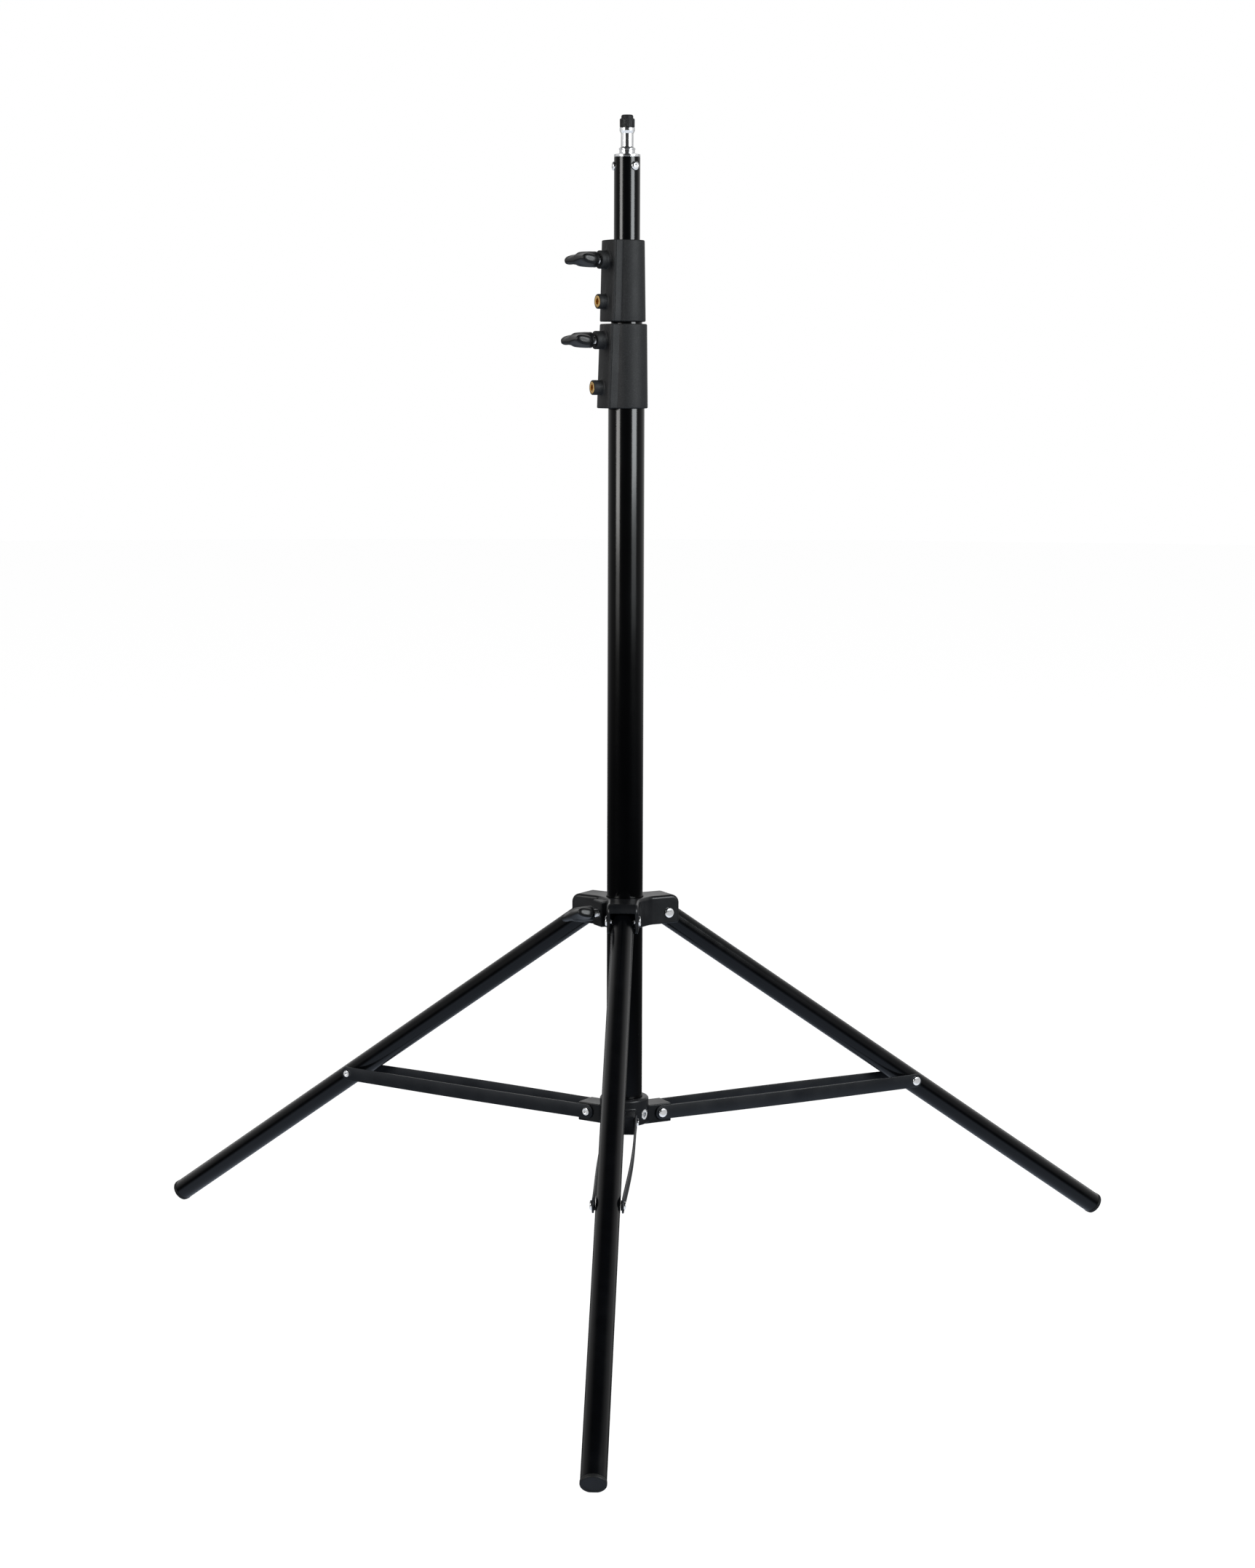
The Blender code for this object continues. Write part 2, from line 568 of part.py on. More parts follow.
def spider_boss(spider, stand, materials):
    """Boss between the front and left arms, bored for the pad and the knob's stud."""
    turn = (0, 0, math.radians(KNOB_AZIMUTH["spider"]))
    corner = 0.0010
    half = SPIDER_BOSS_HALF
    end = SPIDER_BOSS_END
    outline = [(SPIDER_BOSS_ROOT, -half), (end - corner, -half), (end, -half + corner),
               (end, half - corner), (end - corner, half), (SPIDER_BOSS_ROOT, half)]
    block = slab(outline, SPIDER_BOTTOM + 0.0008, SPIDER_TOP - 0.0022, axis="Z")
    cut(spider, block, "UNION", stand, rotation=turn)
    pad_end = BASE_R + STUD_BACK + PAD_TRAVEL + GAP
    stud_bore = turned([(PAD_R + GAP, PAD_ROOT), (PAD_R + GAP, pad_end),
                        (STUD_R + GAP, pad_end), (STUD_R + GAP, end + OVER)], SMALL, "X")
    cut(spider, stud_bore, "DIFFERENCE", stand, (0, 0, SPIDER_KNOB_Z), turn)
    lock_knob("spider", BASE_R, end, SPIDER_KNOB_START, stand, SPIDER_KNOB_Z, materials,
              SPIDER_KNOB_TILT)


def rivet_mesh(half_grip, shank_r, plus_head, minus_head):
    """Shank along Y with a domed head at each end; a head is (radius, height)."""
    plus_r, plus_h = plus_head
    minus_r, minus_h = minus_head
    profile = [(minus_r * 0.35, -half_grip - minus_h),
               (minus_r * 0.75, -half_grip - minus_h * 0.72),
               (minus_r, -half_grip - minus_h * 0.25), (minus_r, -half_grip),
               (shank_r, -half_grip), (shank_r, half_grip), (plus_r, half_grip),
               (plus_r, half_grip + plus_h * 0.25),
               (plus_r * 0.75, half_grip + plus_h * 0.72),
               (plus_r * 0.35, half_grip + plus_h)]
    return turned(profile, SMALL, "Y")


# Legs and braces ----------------------------------------------------------------------
def foot_mesh():
    """Plug with an end flange whose lowest edge is worn flat."""
    plug_r = LEG_R - LEG_WALL - GAP
    flange = LEG_LENGTH - FOOT_THICK
    foot = turned([(plug_r - 0.0006, flange - 0.0200), (plug_r, flange - 0.0190),
                   (plug_r, flange), (FOOT_R - 0.0004, flange), (FOOT_R, flange + 0.0005),
                   (FOOT_R, LEG_LENGTH - 0.0007), (FOOT_R - 0.0007, LEG_LENGTH)],
                  LEG_SIDES, "X")
    down = Vector((math.sin(LEG_SLOPE), 0, -math.cos(LEG_SLOPE)))
    geometry = foot.verts[:] + foot.edges[:] + foot.faces[:]
    bmesh.ops.bisect_plane(foot, geom=geometry, plane_co=down * LEG_PIVOT_Z, plane_no=down,
                           clear_outer=True)
    open_edges = [e for e in foot.edges if e.is_boundary]
    bmesh.ops.holes_fill(foot, edges=open_edges)
    return foot


def leg(side, azimuth, stand, materials):
    """Leg tube with its foot, spacer washers and the rivet it hinges on."""
    turn = math.radians(azimuth)
    place = radial(azimuth, LEG_PIVOT_R, LEG_PIVOT_Z)
    pivot = add_empty(f"leg_{side}_pivot", stand, place, (0, LEG_SLOPE, turn))
    tube_end = LEG_LENGTH - FOOT_THICK - GAP
    body = add_piece(f"leg_{side}", tube(LEG_R, LEG_R - LEG_WALL, -LEG_STUB, tube_end,
                                         LEG_SIDES, "X"), materials["leg"], pivot)
    cut(body, rod(RIVET_R + GAP, -2 * OVER, 2 * OVER, SMALL, "Y"), "DIFFERENCE", pivot)
    add_piece(f"foot_{side}", foot_mesh(), materials["rubber"], pivot)
    thick = BAR_INNER - LEG_R - 2 * GAP
    for mark, low in (("a", LEG_R + GAP), ("b", -LEG_R - GAP - thick)):
        washer = rod(WASHER_R, low, low + thick, SMALL, "Y")
        add_piece(f"leg_{side}_washer_{mark}", washer, materials["nylon"], pivot,
                  (LEG_JOINT, 0, 0))
    rivet = rivet_mesh(CHEEK_OUTER + GAP, RIVET_R, RIVET_HEAD, RIVET_HEAD)
    add_piece(f"spider_rivet_{side}", rivet, materials["chrome"], stand, place,
              (0, 0, turn))


def brace(side, azimuth, stand, materials):
    """Two flat bars astride the leg, with the heads of the bolt at their outer end."""
    turn = math.radians(azimuth)
    pivot = add_empty(f"brace_{side}_pivot", stand,
                      radial(azimuth, BRACE_PIVOT_R, BRACE_PIVOT_Z), (0, 0, turn))
    half = BAR_HEIGHT / 2
    outline = (arc((0, 0), half, 90, 270, 8)
               + arc((BRACE_LENGTH, 0), half, -90, 90, 8))
    face = BAR_INNER + BAR_THICK
    seat = face + GAP
    for mark, low in (("a", BAR_INNER), ("b", -face)):
        bar = slab(outline, low, low + BAR_THICK, [circle((0, 0), HOLE_R)])
        add_piece(f"brace_{side}_bar_{mark}", bar, materials["bar"], pivot)
    for mark, way, (radius, height) in (("a", 1, BRACE_CAP), ("b", -1, BRACE_DOME)):
        head = turned([(radius, seat), (radius, seat + height * 0.3),
                       (radius * 0.75, seat + height * 0.75),
                       (radius * 0.35, seat + height)], SMALL, "Y")
        bmesh.ops.scale(head, vec=(1, way, 1), verts=head.verts)
        add_piece(f"brace_{side}_bolt_{mark}", head, materials["chrome"], pivot,
                  (BRACE_LENGTH, 0, 0))


# Lower collar -------------------------------------------------------------------------
def lower_collar(stand, materials):
    """Fixed casting at the column's foot with a solid tongue for each brace."""
    low, high = COLLAR_HUB_BOTTOM, COLLAR_HUB_TOP
    chamfer = 0.0008
    rounding = 0.0030
    third = rounding * 0.3
    hub = turned([(COLLAR_HUB_R - chamfer, low), (COLLAR_HUB_R, low + chamfer),
                  (COLLAR_HUB_R, high - rounding), (COLLAR_HUB_R - third, high - third),
                  (COLLAR_HUB_R - rounding, high)], ROUND)
    collar = add_piece("lower_collar", hub, materials["casting"], stand)
    side = [(ARM_ROOT_R, TONGUE_BOTTOM), (TONGUE_END_R, TONGUE_BOTTOM),
            (TONGUE_END_R, TONGUE_TOP - rounding), (TONGUE_END_R - rounding, TONGUE_TOP),
            (ARM_ROOT_R, TONGUE_TOP)]
    for azimuth in ARM_AZIMUTH.values():
        turn = (0, 0, math.radians(azimuth))
        cut(collar, slab(side, -TONGUE_HALF_WIDTH, TONGUE_HALF_WIDTH), "UNION", stand,
            rotation=turn)
    for azimuth in ARM_AZIMUTH.values():
        turn = (0, 0, math.radians(azimuth))
        place = radial(azimuth, BRACE_PIVOT_R, BRACE_PIVOT_Z)
        cut(collar, rod(HOLE_R, -2 * OVER, 2 * OVER, SMALL, "Y"), "DIFFERENCE", stand,
            place, turn)
    bore = rod(BASE_R + GAP, COLUMN_BOTTOM - OVER, high + OVER, ROUND)
    cut(collar, bore, "DIFFERENCE", stand)
    turn = (0, 0, math.radians(COLLAR_SCREW_AZIMUTH))
    height = BRACE_PIVOT_Z + COLLAR_SCREW_RISE
    hole = rod(COLLAR_SCREW_R + GAP, OVER, 3 * OVER, SMALL, "X")
    cut(collar, hole, "DIFFERENCE", stand, (0, 0, height), turn)
    set_screw("lower_collar_screw", COLLAR_SCREW_R, COLLAR_SCREW_LENGTH, 0.0026,
              materials["chrome"], stand,
              radial(COLLAR_SCREW_AZIMUTH, COLLAR_HUB_R + 0.0002, height), turn)
    grip = BAR_INNER + BAR_THICK + GAP
    for name, azimuth in ARM_AZIMUTH.items():
        bolt = rivet_mesh(grip, BOLT_R, BOLT_CAP, BOLT_DOME)
        add_piece(f"lower_collar_bolt_{name}", bolt, materials["chrome"], stand,
                  radial(azimuth, BRACE_PIVOT_R, BRACE_PIVOT_Z),
                  (0, 0, math.radians(azimuth)))


# Assembly -----------------------------------------------------------------------------
def build_stand():
    for item in list(bpy.data.objects):
        bpy.data.objects.remove(item, do_unlink=True)
    materials = make_materials()
    stand = add_empty("stand", location=(0, COLUMN_Y, 0))

    base_column(stand, materials)
    section("mid", MID_R, BASE_R - WALL, MID_TUBE_BOTTOM, MID_TUBE_TOP, stand, materials)
    section("top", TOP_R, MID_R - WALL, TOP_TUBE_BOTTOM, TOP_TUBE_TOP, stand, materials)

    bores = {"base": (BASE_R + GAP, MID_R + PLAY, BASE_TUBE_TOP + GAP),
             "mid": (MID_R + GAP, TOP_R + PLAY, MID_TUBE_TOP + GAP)}
    for name, locked_r in (("base", MID_R), ("mid", TOP_R)):
        sizes = CLAMPS[name]
        clamp_body(name, bores[name], stand, materials)
        lock_knob(name, locked_r, sizes["knob_boss_end"], sizes["knob_start"], stand,
                  sizes["knob_z"], materials)
    spigot_assembly(stand, materials)
    spigot_cap(stand, materials)

    spider = spider_casting(stand, materials)
    spider_boss(spider, stand, materials)
    lower_collar(stand, materials)
    for side, azimuth in ARM_AZIMUTH.items():
        leg(side, azimuth, stand, materials)
        brace(side, azimuth, stand, materials)


build_stand()
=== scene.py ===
"""Looks of the studio stand: fine meshes, materials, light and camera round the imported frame."""

import json
import math

import bmesh
import bpy
import numpy as np
from mathutils import Matrix, Vector

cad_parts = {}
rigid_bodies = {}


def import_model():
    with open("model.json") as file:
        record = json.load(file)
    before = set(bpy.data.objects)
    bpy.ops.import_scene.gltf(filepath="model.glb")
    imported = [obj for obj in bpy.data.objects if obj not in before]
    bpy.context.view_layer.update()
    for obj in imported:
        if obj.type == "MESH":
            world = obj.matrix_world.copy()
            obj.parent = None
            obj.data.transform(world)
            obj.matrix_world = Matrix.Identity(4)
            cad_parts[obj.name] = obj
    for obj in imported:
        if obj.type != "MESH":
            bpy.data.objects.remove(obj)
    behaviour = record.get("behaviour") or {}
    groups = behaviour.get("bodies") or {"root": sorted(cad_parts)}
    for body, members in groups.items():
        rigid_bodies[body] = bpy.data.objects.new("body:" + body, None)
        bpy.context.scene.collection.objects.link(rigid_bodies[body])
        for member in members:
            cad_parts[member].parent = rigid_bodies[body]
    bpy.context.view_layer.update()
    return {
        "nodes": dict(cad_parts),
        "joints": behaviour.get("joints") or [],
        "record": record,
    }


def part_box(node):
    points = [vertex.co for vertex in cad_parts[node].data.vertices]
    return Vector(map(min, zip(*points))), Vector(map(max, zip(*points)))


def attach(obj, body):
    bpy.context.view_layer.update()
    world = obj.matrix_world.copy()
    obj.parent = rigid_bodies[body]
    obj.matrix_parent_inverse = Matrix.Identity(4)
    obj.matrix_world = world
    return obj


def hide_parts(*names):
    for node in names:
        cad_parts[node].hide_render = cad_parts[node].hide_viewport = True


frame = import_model()
JOINTS = {joint["name"]: joint for joint in frame["joints"]}
SIDES = ("front", "right", "left")
MM = 0.001
GAP = 0.3 * MM


# Places and sizes read from the frame ---------------------------------------------------
def node_points(node):
    return np.array([v.co for v in frame["nodes"][node].data.vertices], float)


def span(node):
    """Lowest and highest corner of a node."""
    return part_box(node)


def tube_facts(node):
    """Radius, lower end and upper end of an upright tube."""
    low, high = span(node)
    return (high.y - low.y) / 2, low.z, high.z


AXIS = (span("base_tube")[0] + span("base_tube")[1]) / 2
AXIS.z = 0.0
BASE_R, BASE_LOW, BASE_HIGH = tube_facts("base_tube")
MID_R, MID_LOW, MID_HIGH = tube_facts("mid_tube")
TOP_R, TOP_LOW, TOP_HIGH = tube_facts("top_tube")
WALL = 1.5 * MM
SLIDE_FIT = 0.6 * MM
LEG_R = 11.0 * MM
LEG_HOLE_R = 3.3 * MM
BAR_INNER = 12.4 * MM
BAR_THICK = 1.6 * MM
BAR_HALF = 7.0 * MM
BOLT_SEAT = BAR_INNER + BAR_THICK + 0.05 * MM
BOLT_DOME = (4.6 * MM, 2.4 * MM)


def upright(x_axis, place):
    """Matrix with X along x_axis, Z as near up as it can be, at place."""
    x = Vector(x_axis).normalized()
    y = Vector((0, 0, 1)).cross(x).normalized()
    z = x.cross(y)
    turn = Matrix((x, y, z)).transposed().to_4x4()
    return Matrix.Translation(place) @ turn


def knob_frame(name):
    """X outwards along the knob's screw, Z up; the origin is on the floor."""
    return upright(JOINTS[f"{name}_knob_turn"]["axis"], AXIS)


def arm_frame(side):
    """X outwards along an arm of the spider, Z up; the origin is on the floor."""
    pivot = Vector(JOINTS[f"leg_{side}_hinge"]["pos_m"])
    return upright((pivot.x - AXIS.x, pivot.y - AXIS.y, 0), AXIS)


def leg_frame(side):
    """X down the leg, Y across it; the origin is on the leg's hinge."""
    pivot = Vector(JOINTS[f"leg_{side}_hinge"]["pos_m"])
    middle = Vector(node_points(f"leg_{side}").mean(0))
    return upright(middle - pivot, pivot)


def brace_frame(side):
    """X outwards along the brace, Y across it; the origin is on the brace's hinge."""
    pivot = Vector(JOINTS[f"brace_{side}_hinge"]["pos_m"])
    return upright((pivot.x - AXIS.x, pivot.y - AXIS.y, 0), pivot)


def reach(node, matrix):
    """Lowest and highest corner of a node, measured in the axes of matrix."""
    inverse = np.array(matrix.inverted())
    points = node_points(node) @ inverse[:3, :3].T + inverse[:3, 3]
    return points.min(0), points.max(0)


def mesh_of(name, bm):
    """Mesh from a bmesh, which is freed."""
    mesh = bpy.data.meshes.new(name)
    bm.to_mesh(mesh)
    bm.free()
    return mesh


def put(name, data):
    """New object in the scene."""
    item = bpy.data.objects.new(name, data)
    bpy.context.scene.collection.objects.link(item)
    return item


# Materials ------------------------------------------------------------------------------
def color_ramp(tree, source, stops):
    """Ramp over a value from 0 to 1; stops are (position, grey level or (r, g, b))."""
    node = tree.nodes.new("ShaderNodeValToRGB")
    elements = node.color_ramp.elements
    while len(elements) < len(stops):
        elements.new(0.5)
    for element, (position, color) in zip(elements, stops):
        element.position = position
        element.color = (*(color if isinstance(color, tuple) else (color,) * 3), 1.0)
    tree.links.new(source, node.inputs["Fac"])
    return node.outputs["Color"]


def blend(tree, kind, factor, first, second):
    """Mixes two colours; the factor and each colour are a socket or plain values."""
    node = tree.nodes.new("ShaderNodeMix")
    node.data_type = "RGBA"
    node.blend_type = kind
    for socket, value in zip((node.inputs[0], node.inputs[6], node.inputs[7]),
                             (factor, first, second)):
        if isinstance(value, (int, float)):
            socket.default_value = value
        elif isinstance(value, tuple):
            socket.default_value = (*value, 1.0)
        else:
            tree.links.new(value, socket)
    return node.outputs[2]


class Nodes:
    """Short forms for building a material's node tree."""

    def __init__(self, name):
        self.material = bpy.data.materials.new(name)
        self.material.use_nodes = True
        self.tree = self.material.node_tree
        self.shader = self.tree.nodes["Principled BSDF"]
        self.place = self.add("ShaderNodeTexCoord").outputs["Object"]

    def add(self, kind, **values):
        node = self.tree.nodes.new(kind)
        for key, value in values.items():
            setattr(node, key, value)
        return node

    def link(self, source, target):
        self.tree.links.new(source, target)

    def noise(self, scale, detail=3.0, roughness=0.5, stretch=(1, 1, 1)):
        """Noise over the piece; scale is in features for each metre."""
        mapping = self.add("ShaderNodeMapping")
        mapping.inputs["Scale"].default_value = stretch
        self.link(self.place, mapping.inputs["Vector"])
        noise = self.add("ShaderNodeTexNoise")
        noise.inputs["Scale"].default_value = scale
        noise.inputs["Detail"].default_value = detail
        noise.inputs["Roughness"].default_value = roughness
        self.link(mapping.outputs["Vector"], noise.inputs["Vector"])
        return noise.outputs["Fac"]

    def remap(self, source, low, high, to_low, to_high):
        node = self.add("ShaderNodeMapRange")
        node.inputs["From Min"].default_value = low
        node.inputs["From Max"].default_value = high
        node.inputs["To Min"].default_value = to_low
        node.inputs["To Max"].default_value = to_high
        self.link(source, node.inputs["Value"])
        return node.outputs["Result"]

    def ramp(self, source, stops):
        return color_ramp(self.tree, source, stops)

    def math(self, operation, first, second):
        node = self.add("ShaderNodeMath", operation=operation)
        for socket, value in zip(node.inputs, (first, second)):
            if isinstance(value, (int, float)):
                socket.default_value = value
            else:
                self.link(value, socket)
        return node.outputs["Value"]

    def mix(self, factor, first, second):
        return blend(self.tree, "MIX", factor, first, second)

    def edges(self, radius):
        """1 on convex edges and 0 on flats, from the pointiness of the mesh."""
        geometry = self.add("ShaderNodeNewGeometry")
        return self.remap(geometry.outputs["Pointiness"], 0.52, 0.52 + radius, 0.0, 1.0)

    def bump(self, height, distance, strength=1.0, below=None):
        node = self.add("ShaderNodeBump")
        node.inputs["Distance"].default_value = distance
        node.inputs["Strength"].default_value = strength
        self.link(height, node.inputs["Height"])
        if below is not None:
            self.link(below, node.inputs["Normal"])
        return node.outputs["Normal"]

    def finish(self, color, roughness, normal=None, **values):
        """Colour, roughness and normal are sockets, the rest are plain numbers."""
        self.link(color, self.shader.inputs["Base Color"])
        self.link(roughness, self.shader.inputs["Roughness"])
        if normal is not None:
            self.link(normal, self.shader.inputs["Normal"])
        for key, value in values.items():
            self.shader.inputs[key.replace("_", " ")].default_value = value
        return self.material


def powder_coat(name, dark, light, smooth, dull):
    """Gloss black coat with faint orange peel, rubbed patches and fine dust."""
    nodes = Nodes(name)
    patches = nodes.noise(18, 4.0, 0.55)
    streaks = nodes.noise(60, 3.0, 0.6, (1, 1, 0.08))
    rubbed = nodes.math("MULTIPLY", patches, streaks)
    color = nodes.ramp(rubbed, ((0.12, dark), (0.42, light)))
    roughness = nodes.remap(rubbed, 0.1, 0.45, smooth, dull)
    peel = nodes.noise(620, 2.0, 0.4)
    speck = nodes.noise(2600, 1.0, 0.5)
    normal = nodes.bump(peel, 0.000018, 0.25)
    normal = nodes.bump(speck, 0.000004, 0.15, normal)
    return nodes.finish(color, roughness, normal)


def grained_moulding(name, base, lifted, dull):
    """Spark-eroded grain of a glass-filled nylon moulding, with painted glints and a painted
    highlight that makes its edges a little paler.
    """
    nodes = Nodes(name)
    grain = nodes.noise(1500, 3.0, 0.62)
    blotch = nodes.noise(45, 4.0, 0.6)
    mixed = nodes.math("ADD", nodes.math("MULTIPLY", grain, 0.6),
                       nodes.math("MULTIPLY", blotch, 0.4))
    color = nodes.ramp(mixed, ((0.30, base), (0.72, lifted)))
    # painted glints: bright specks of a fixed paler colour mixed into the base colour
    painted_glints = nodes.remap(nodes.noise(2300, 2.0, 0.6), 0.56, 0.68, 0.0, 1.0)
    color = nodes.mix(painted_glints, color, tuple(2.6 * c for c in lifted))
    # painted highlight: convex edges made paler in the base colour
    painted_edge_highlight = tuple(1.7 * c for c in lifted)
    color = nodes.mix(nodes.edges(0.06), color, painted_edge_highlight)
    roughness = nodes.remap(mixed, 0.3, 0.7, dull - 0.08, dull + 0.10)
    normal = nodes.bump(grain, 0.00016, 0.75)
    return nodes.finish(color, roughness, normal, Specular_IOR_Level=0.5)


def satin_casting(name, base, lifted, dull, grain_depth=0.00006):
    """Black coat over a casting: soft sheen, fine grain, and a painted highlight that makes its
    edges paler.
    """
    nodes = Nodes(name)
    grain = nodes.noise(900, 3.0, 0.55)
    blotch = nodes.noise(30, 4.0, 0.6)
    color = nodes.ramp(blotch, ((0.30, base), (0.75, lifted)))
    # painted highlight: convex edges made paler in the base colour
    color = nodes.mix(nodes.edges(0.10), color, tuple(2.2 * c for c in lifted))
    roughness = nodes.remap(blotch, 0.3, 0.7, dull - 0.06, dull + 0.08)
    normal = nodes.bump(grain, grain_depth, 0.5)
    return nodes.finish(color, roughness, normal, Coat_Weight=0.15, Coat_Roughness=0.25)


def plated(name, bright, shade, smooth, dull, turned_marks=0.00001):
    """Plating over turned metal: fine turning marks, faint smudges."""
    nodes = Nodes(name)
    smudge = nodes.noise(120, 4.0, 0.6)
    marks = nodes.noise(900, 2.0, 0.5, (0.05, 0.05, 4.0))
    color = nodes.ramp(smudge, ((0.30, bright), (0.80, shade)))
    roughness = nodes.remap(smudge, 0.3, 0.75, smooth, dull)
    normal = nodes.bump(marks, turned_marks, 0.3)
    return nodes.finish(color, roughness, normal, Metallic=1.0)


def plastic(name, base, lifted, smooth, dull, scale=700, depth=0.00004):
    """Moulded plastic or rubber with a fine matt texture and a painted highlight that makes its
    edges paler.
    """
    nodes = Nodes(name)
    grain = nodes.noise(scale, 2.0, 0.5)
    blotch = nodes.noise(60, 3.0, 0.6)
    color = nodes.ramp(blotch, ((0.30, base), (0.75, lifted)))
    # painted highlight: convex edges made paler in the base colour
    color = nodes.mix(nodes.edges(0.08), color, tuple(1.8 * c for c in lifted))
    roughness = nodes.remap(blotch, 0.3, 0.7, smooth, dull)
    normal = nodes.bump(grain, depth, 0.5)
    return nodes.finish(color, roughness, normal)


MATERIALS = {
    "black_tube": powder_coat("column_gloss_black", (0.0012, 0.0013, 0.0016),
                              (0.0024, 0.0026, 0.0032), 0.13, 0.19),
    "black_leg_tube": powder_coat("leg_gloss_black", (0.0020, 0.0023, 0.0030),
                                  (0.0036, 0.0041, 0.0054), 0.16, 0.24),
    "charcoal_moulding": grained_moulding("clamp_grained_charcoal", (0.0100, 0.0107, 0.0116),
                                          (0.0240, 0.0249, 0.0262), 0.58),
    "black_casting": satin_casting("casting_satin_black", (0.0085, 0.0095, 0.0115),
                                   (0.0165, 0.0175, 0.0200), 0.36),
    "black_bar": satin_casting("bar_satin_black", (0.0085, 0.0098, 0.0126),
                               (0.0145, 0.0161, 0.0192), 0.34, 0.00003),
    "black_knob": plastic("knob_black_plastic", (0.0075, 0.0080, 0.0090),
                          (0.0140, 0.0148, 0.0160), 0.30, 0.42),
    "chrome_steel": plated("chrome_plating", (0.86, 0.87, 0.88), (0.70, 0.71, 0.73), 0.16,
                           0.26),
    "brass_screw": plated("turned_brass", (0.80, 0.52, 0.18), (0.52, 0.32, 0.10), 0.18,
                          0.34),
    "black_rubber": plastic("cap_black_rubber", (0.0100, 0.0105, 0.0115),
                            (0.0200, 0.0205, 0.0215), 0.45, 0.60, 1200, 0.00008),
    "black_nylon": plastic("nylon_black", (0.0120, 0.0125, 0.0130),
                           (0.0220, 0.0225, 0.0235), 0.42, 0.55),
}
SLOT_OF = {part["node"]: part["material_slot"] for part in frame["record"]["subparts"]}


# Pieces ---------------------------------------------------------------------------------
def piece(name, bm, matrix, body, node, sharp=32.0):
    """Object from a bmesh in local axes; it rides on a body and stands for a CAD node."""
    mesh = mesh_of(name, bm)
    item = put(name, mesh)
    item.matrix_world = matrix
    slot = SLOT_OF[node]
    mesh.materials.append(MATERIALS[slot])
    mesh.shade_smooth()
    if sharp:
        mesh.set_sharp_from_angle(angle=math.radians(sharp))
    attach(item, body)
    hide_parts(node)
    return item


def fillet(points, radius, steps=4):
    """Rounds the inner corners of an open profile of (radius, height) points.

    radius is one number, or one for each point; a corner with radius 0 stays sharp."""
    if isinstance(radius, (int, float)):
        radius = [radius] * len(points)
    result = [points[0]]
    for k in range(1, len(points) - 1):
        before, here, after = (Vector(points[k + d][:2]) for d in (-1, 0, 1))
        way_in = (here - before).normalized()
        way_out = (after - here).normalized()
        turn = way_in.angle(way_out, 0.0)
        if radius[k] <= 0 or turn < 0.05 or len(points[k]) > 2:
            result.append(points[k])
            continue
        run = radius[k] * math.tan(turn / 2)
        run = min(run, (here - before).length * 0.49, (after - here).length * 0.49)
        start, end = here - way_in * run, here + way_out * run
        for s in range(steps + 1):
            t = s / steps
            point = start * (1 - t) ** 2 + here * (2 * t * (1 - t)) + end * t ** 2
            result.append((point.x, point.y))
    result.append(points[-1])
    return result


ALONG = {"Z": Matrix.Identity(4), "X": Matrix.Rotation(math.pi / 2, 4, "Y"),
         "Y": Matrix.Rotation(-math.pi / 2, 4, "X")}


def turned(profile, sides=96, axis="Z", closed=False, ribs=None):
    """Body of revolution of (radius, height) points, listed upwards.

    A third entry "hex" makes that ring a hexagon, radius across its corners. ribs is a
    function of angle, radius and height that gives the radius to use instead."""
    bm = bmesh.new()
    rings = []
    for point in profile:
        ring = []
        for k in range(sides):
            angle = 2 * math.pi * k / sides
            radius = point[0]
            if len(point) > 2:
                within = (angle + math.pi / 6) % (math.pi / 3) - math.pi / 6
                radius *= math.cos(math.pi / 6) / math.cos(abs(within))
            if ribs is not None:
                radius = ribs(angle, radius, point[1])
            ring.append(bm.verts.new((radius * math.cos(angle), radius * math.sin(angle),
                                      point[1])))
        rings.append(ring)
    pairs = list(zip(rings, rings[1:]))
    if closed:
        pairs.append((rings[-1], rings[0]))
    for lower, upper in pairs:
        for k in range(sides):
            n = (k + 1) % sides
            bm.faces.new((lower[k], lower[n], upper[n], upper[k]))
    if not closed:
        bm.faces.new(rings[0][::-1])
        bm.faces.new(rings[-1])
    bmesh.ops.transform(bm, matrix=ALONG[axis], verts=bm.verts)
    return bm


def pipe(outer, inner, low, high, axis="Z", sides=128):
    """Tube with softly rounded ends."""
    edge = min(0.35 * MM, (outer - inner) * 0.4)
    corners = [(inner, low), (outer, low), (outer, high), (inner, high)]
    ring = []
    for k, (r, z) in enumerate(corners):
        in_r = 1 if r == inner else -1
        in_z = 1 if z == low else -1
        first, last = (r, z + in_z * edge), (r + in_r * edge, z)
        if k in (1, 3):
            first, last = last, first
        for s in range(4):
            t = s / 3
            a, b, c = (1 - t) ** 2, 2 * t * (1 - t), t ** 2
            ring.append((first[0] * a + r * b + last[0] * c,
                         first[1] * a + z * b + last[1] * c))
    return turned(ring, sides, axis, closed=True)


def drill(item, bm, matrix=None, operation="DIFFERENCE"):
    """Cuts a tool's shape out of a piece, or joins it on, and applies the result."""
    tool = put("tool", mesh_of("tool", bm))
    tool.matrix_world = item.matrix_world @ (matrix or Matrix.Identity(4))
    modifier = item.modifiers.new("cut", "BOOLEAN")
    modifier.operation = operation
    modifier.object = tool
    bpy.context.view_layer.update()
    done = bpy.data.meshes.new_from_object(
        item.evaluated_get(bpy.context.evaluated_depsgraph_get()))
    item.modifiers.clear()
    item.data = done
    bpy.data.objects.remove(tool)


def crisp(item, angle=32.0):
    item.data.shade_smooth()
    item.data.set_sharp_from_angle(angle=math.radians(angle))


# Distance fields, for cast and moulded shapes -------------------------------------------
def both(a, b, radius):
    """Where both hold, with the edge rounded to radius."""
    return (np.minimum(np.maximum(a + radius, b + radius), 0)
            + np.hypot(np.maximum(a + radius, 0), np.maximum(b + radius, 0)) - radius)


def either(a, b, radius):
    """Where either holds, with the inner corner filleted to radius."""
    return -both(-a, -b, radius)


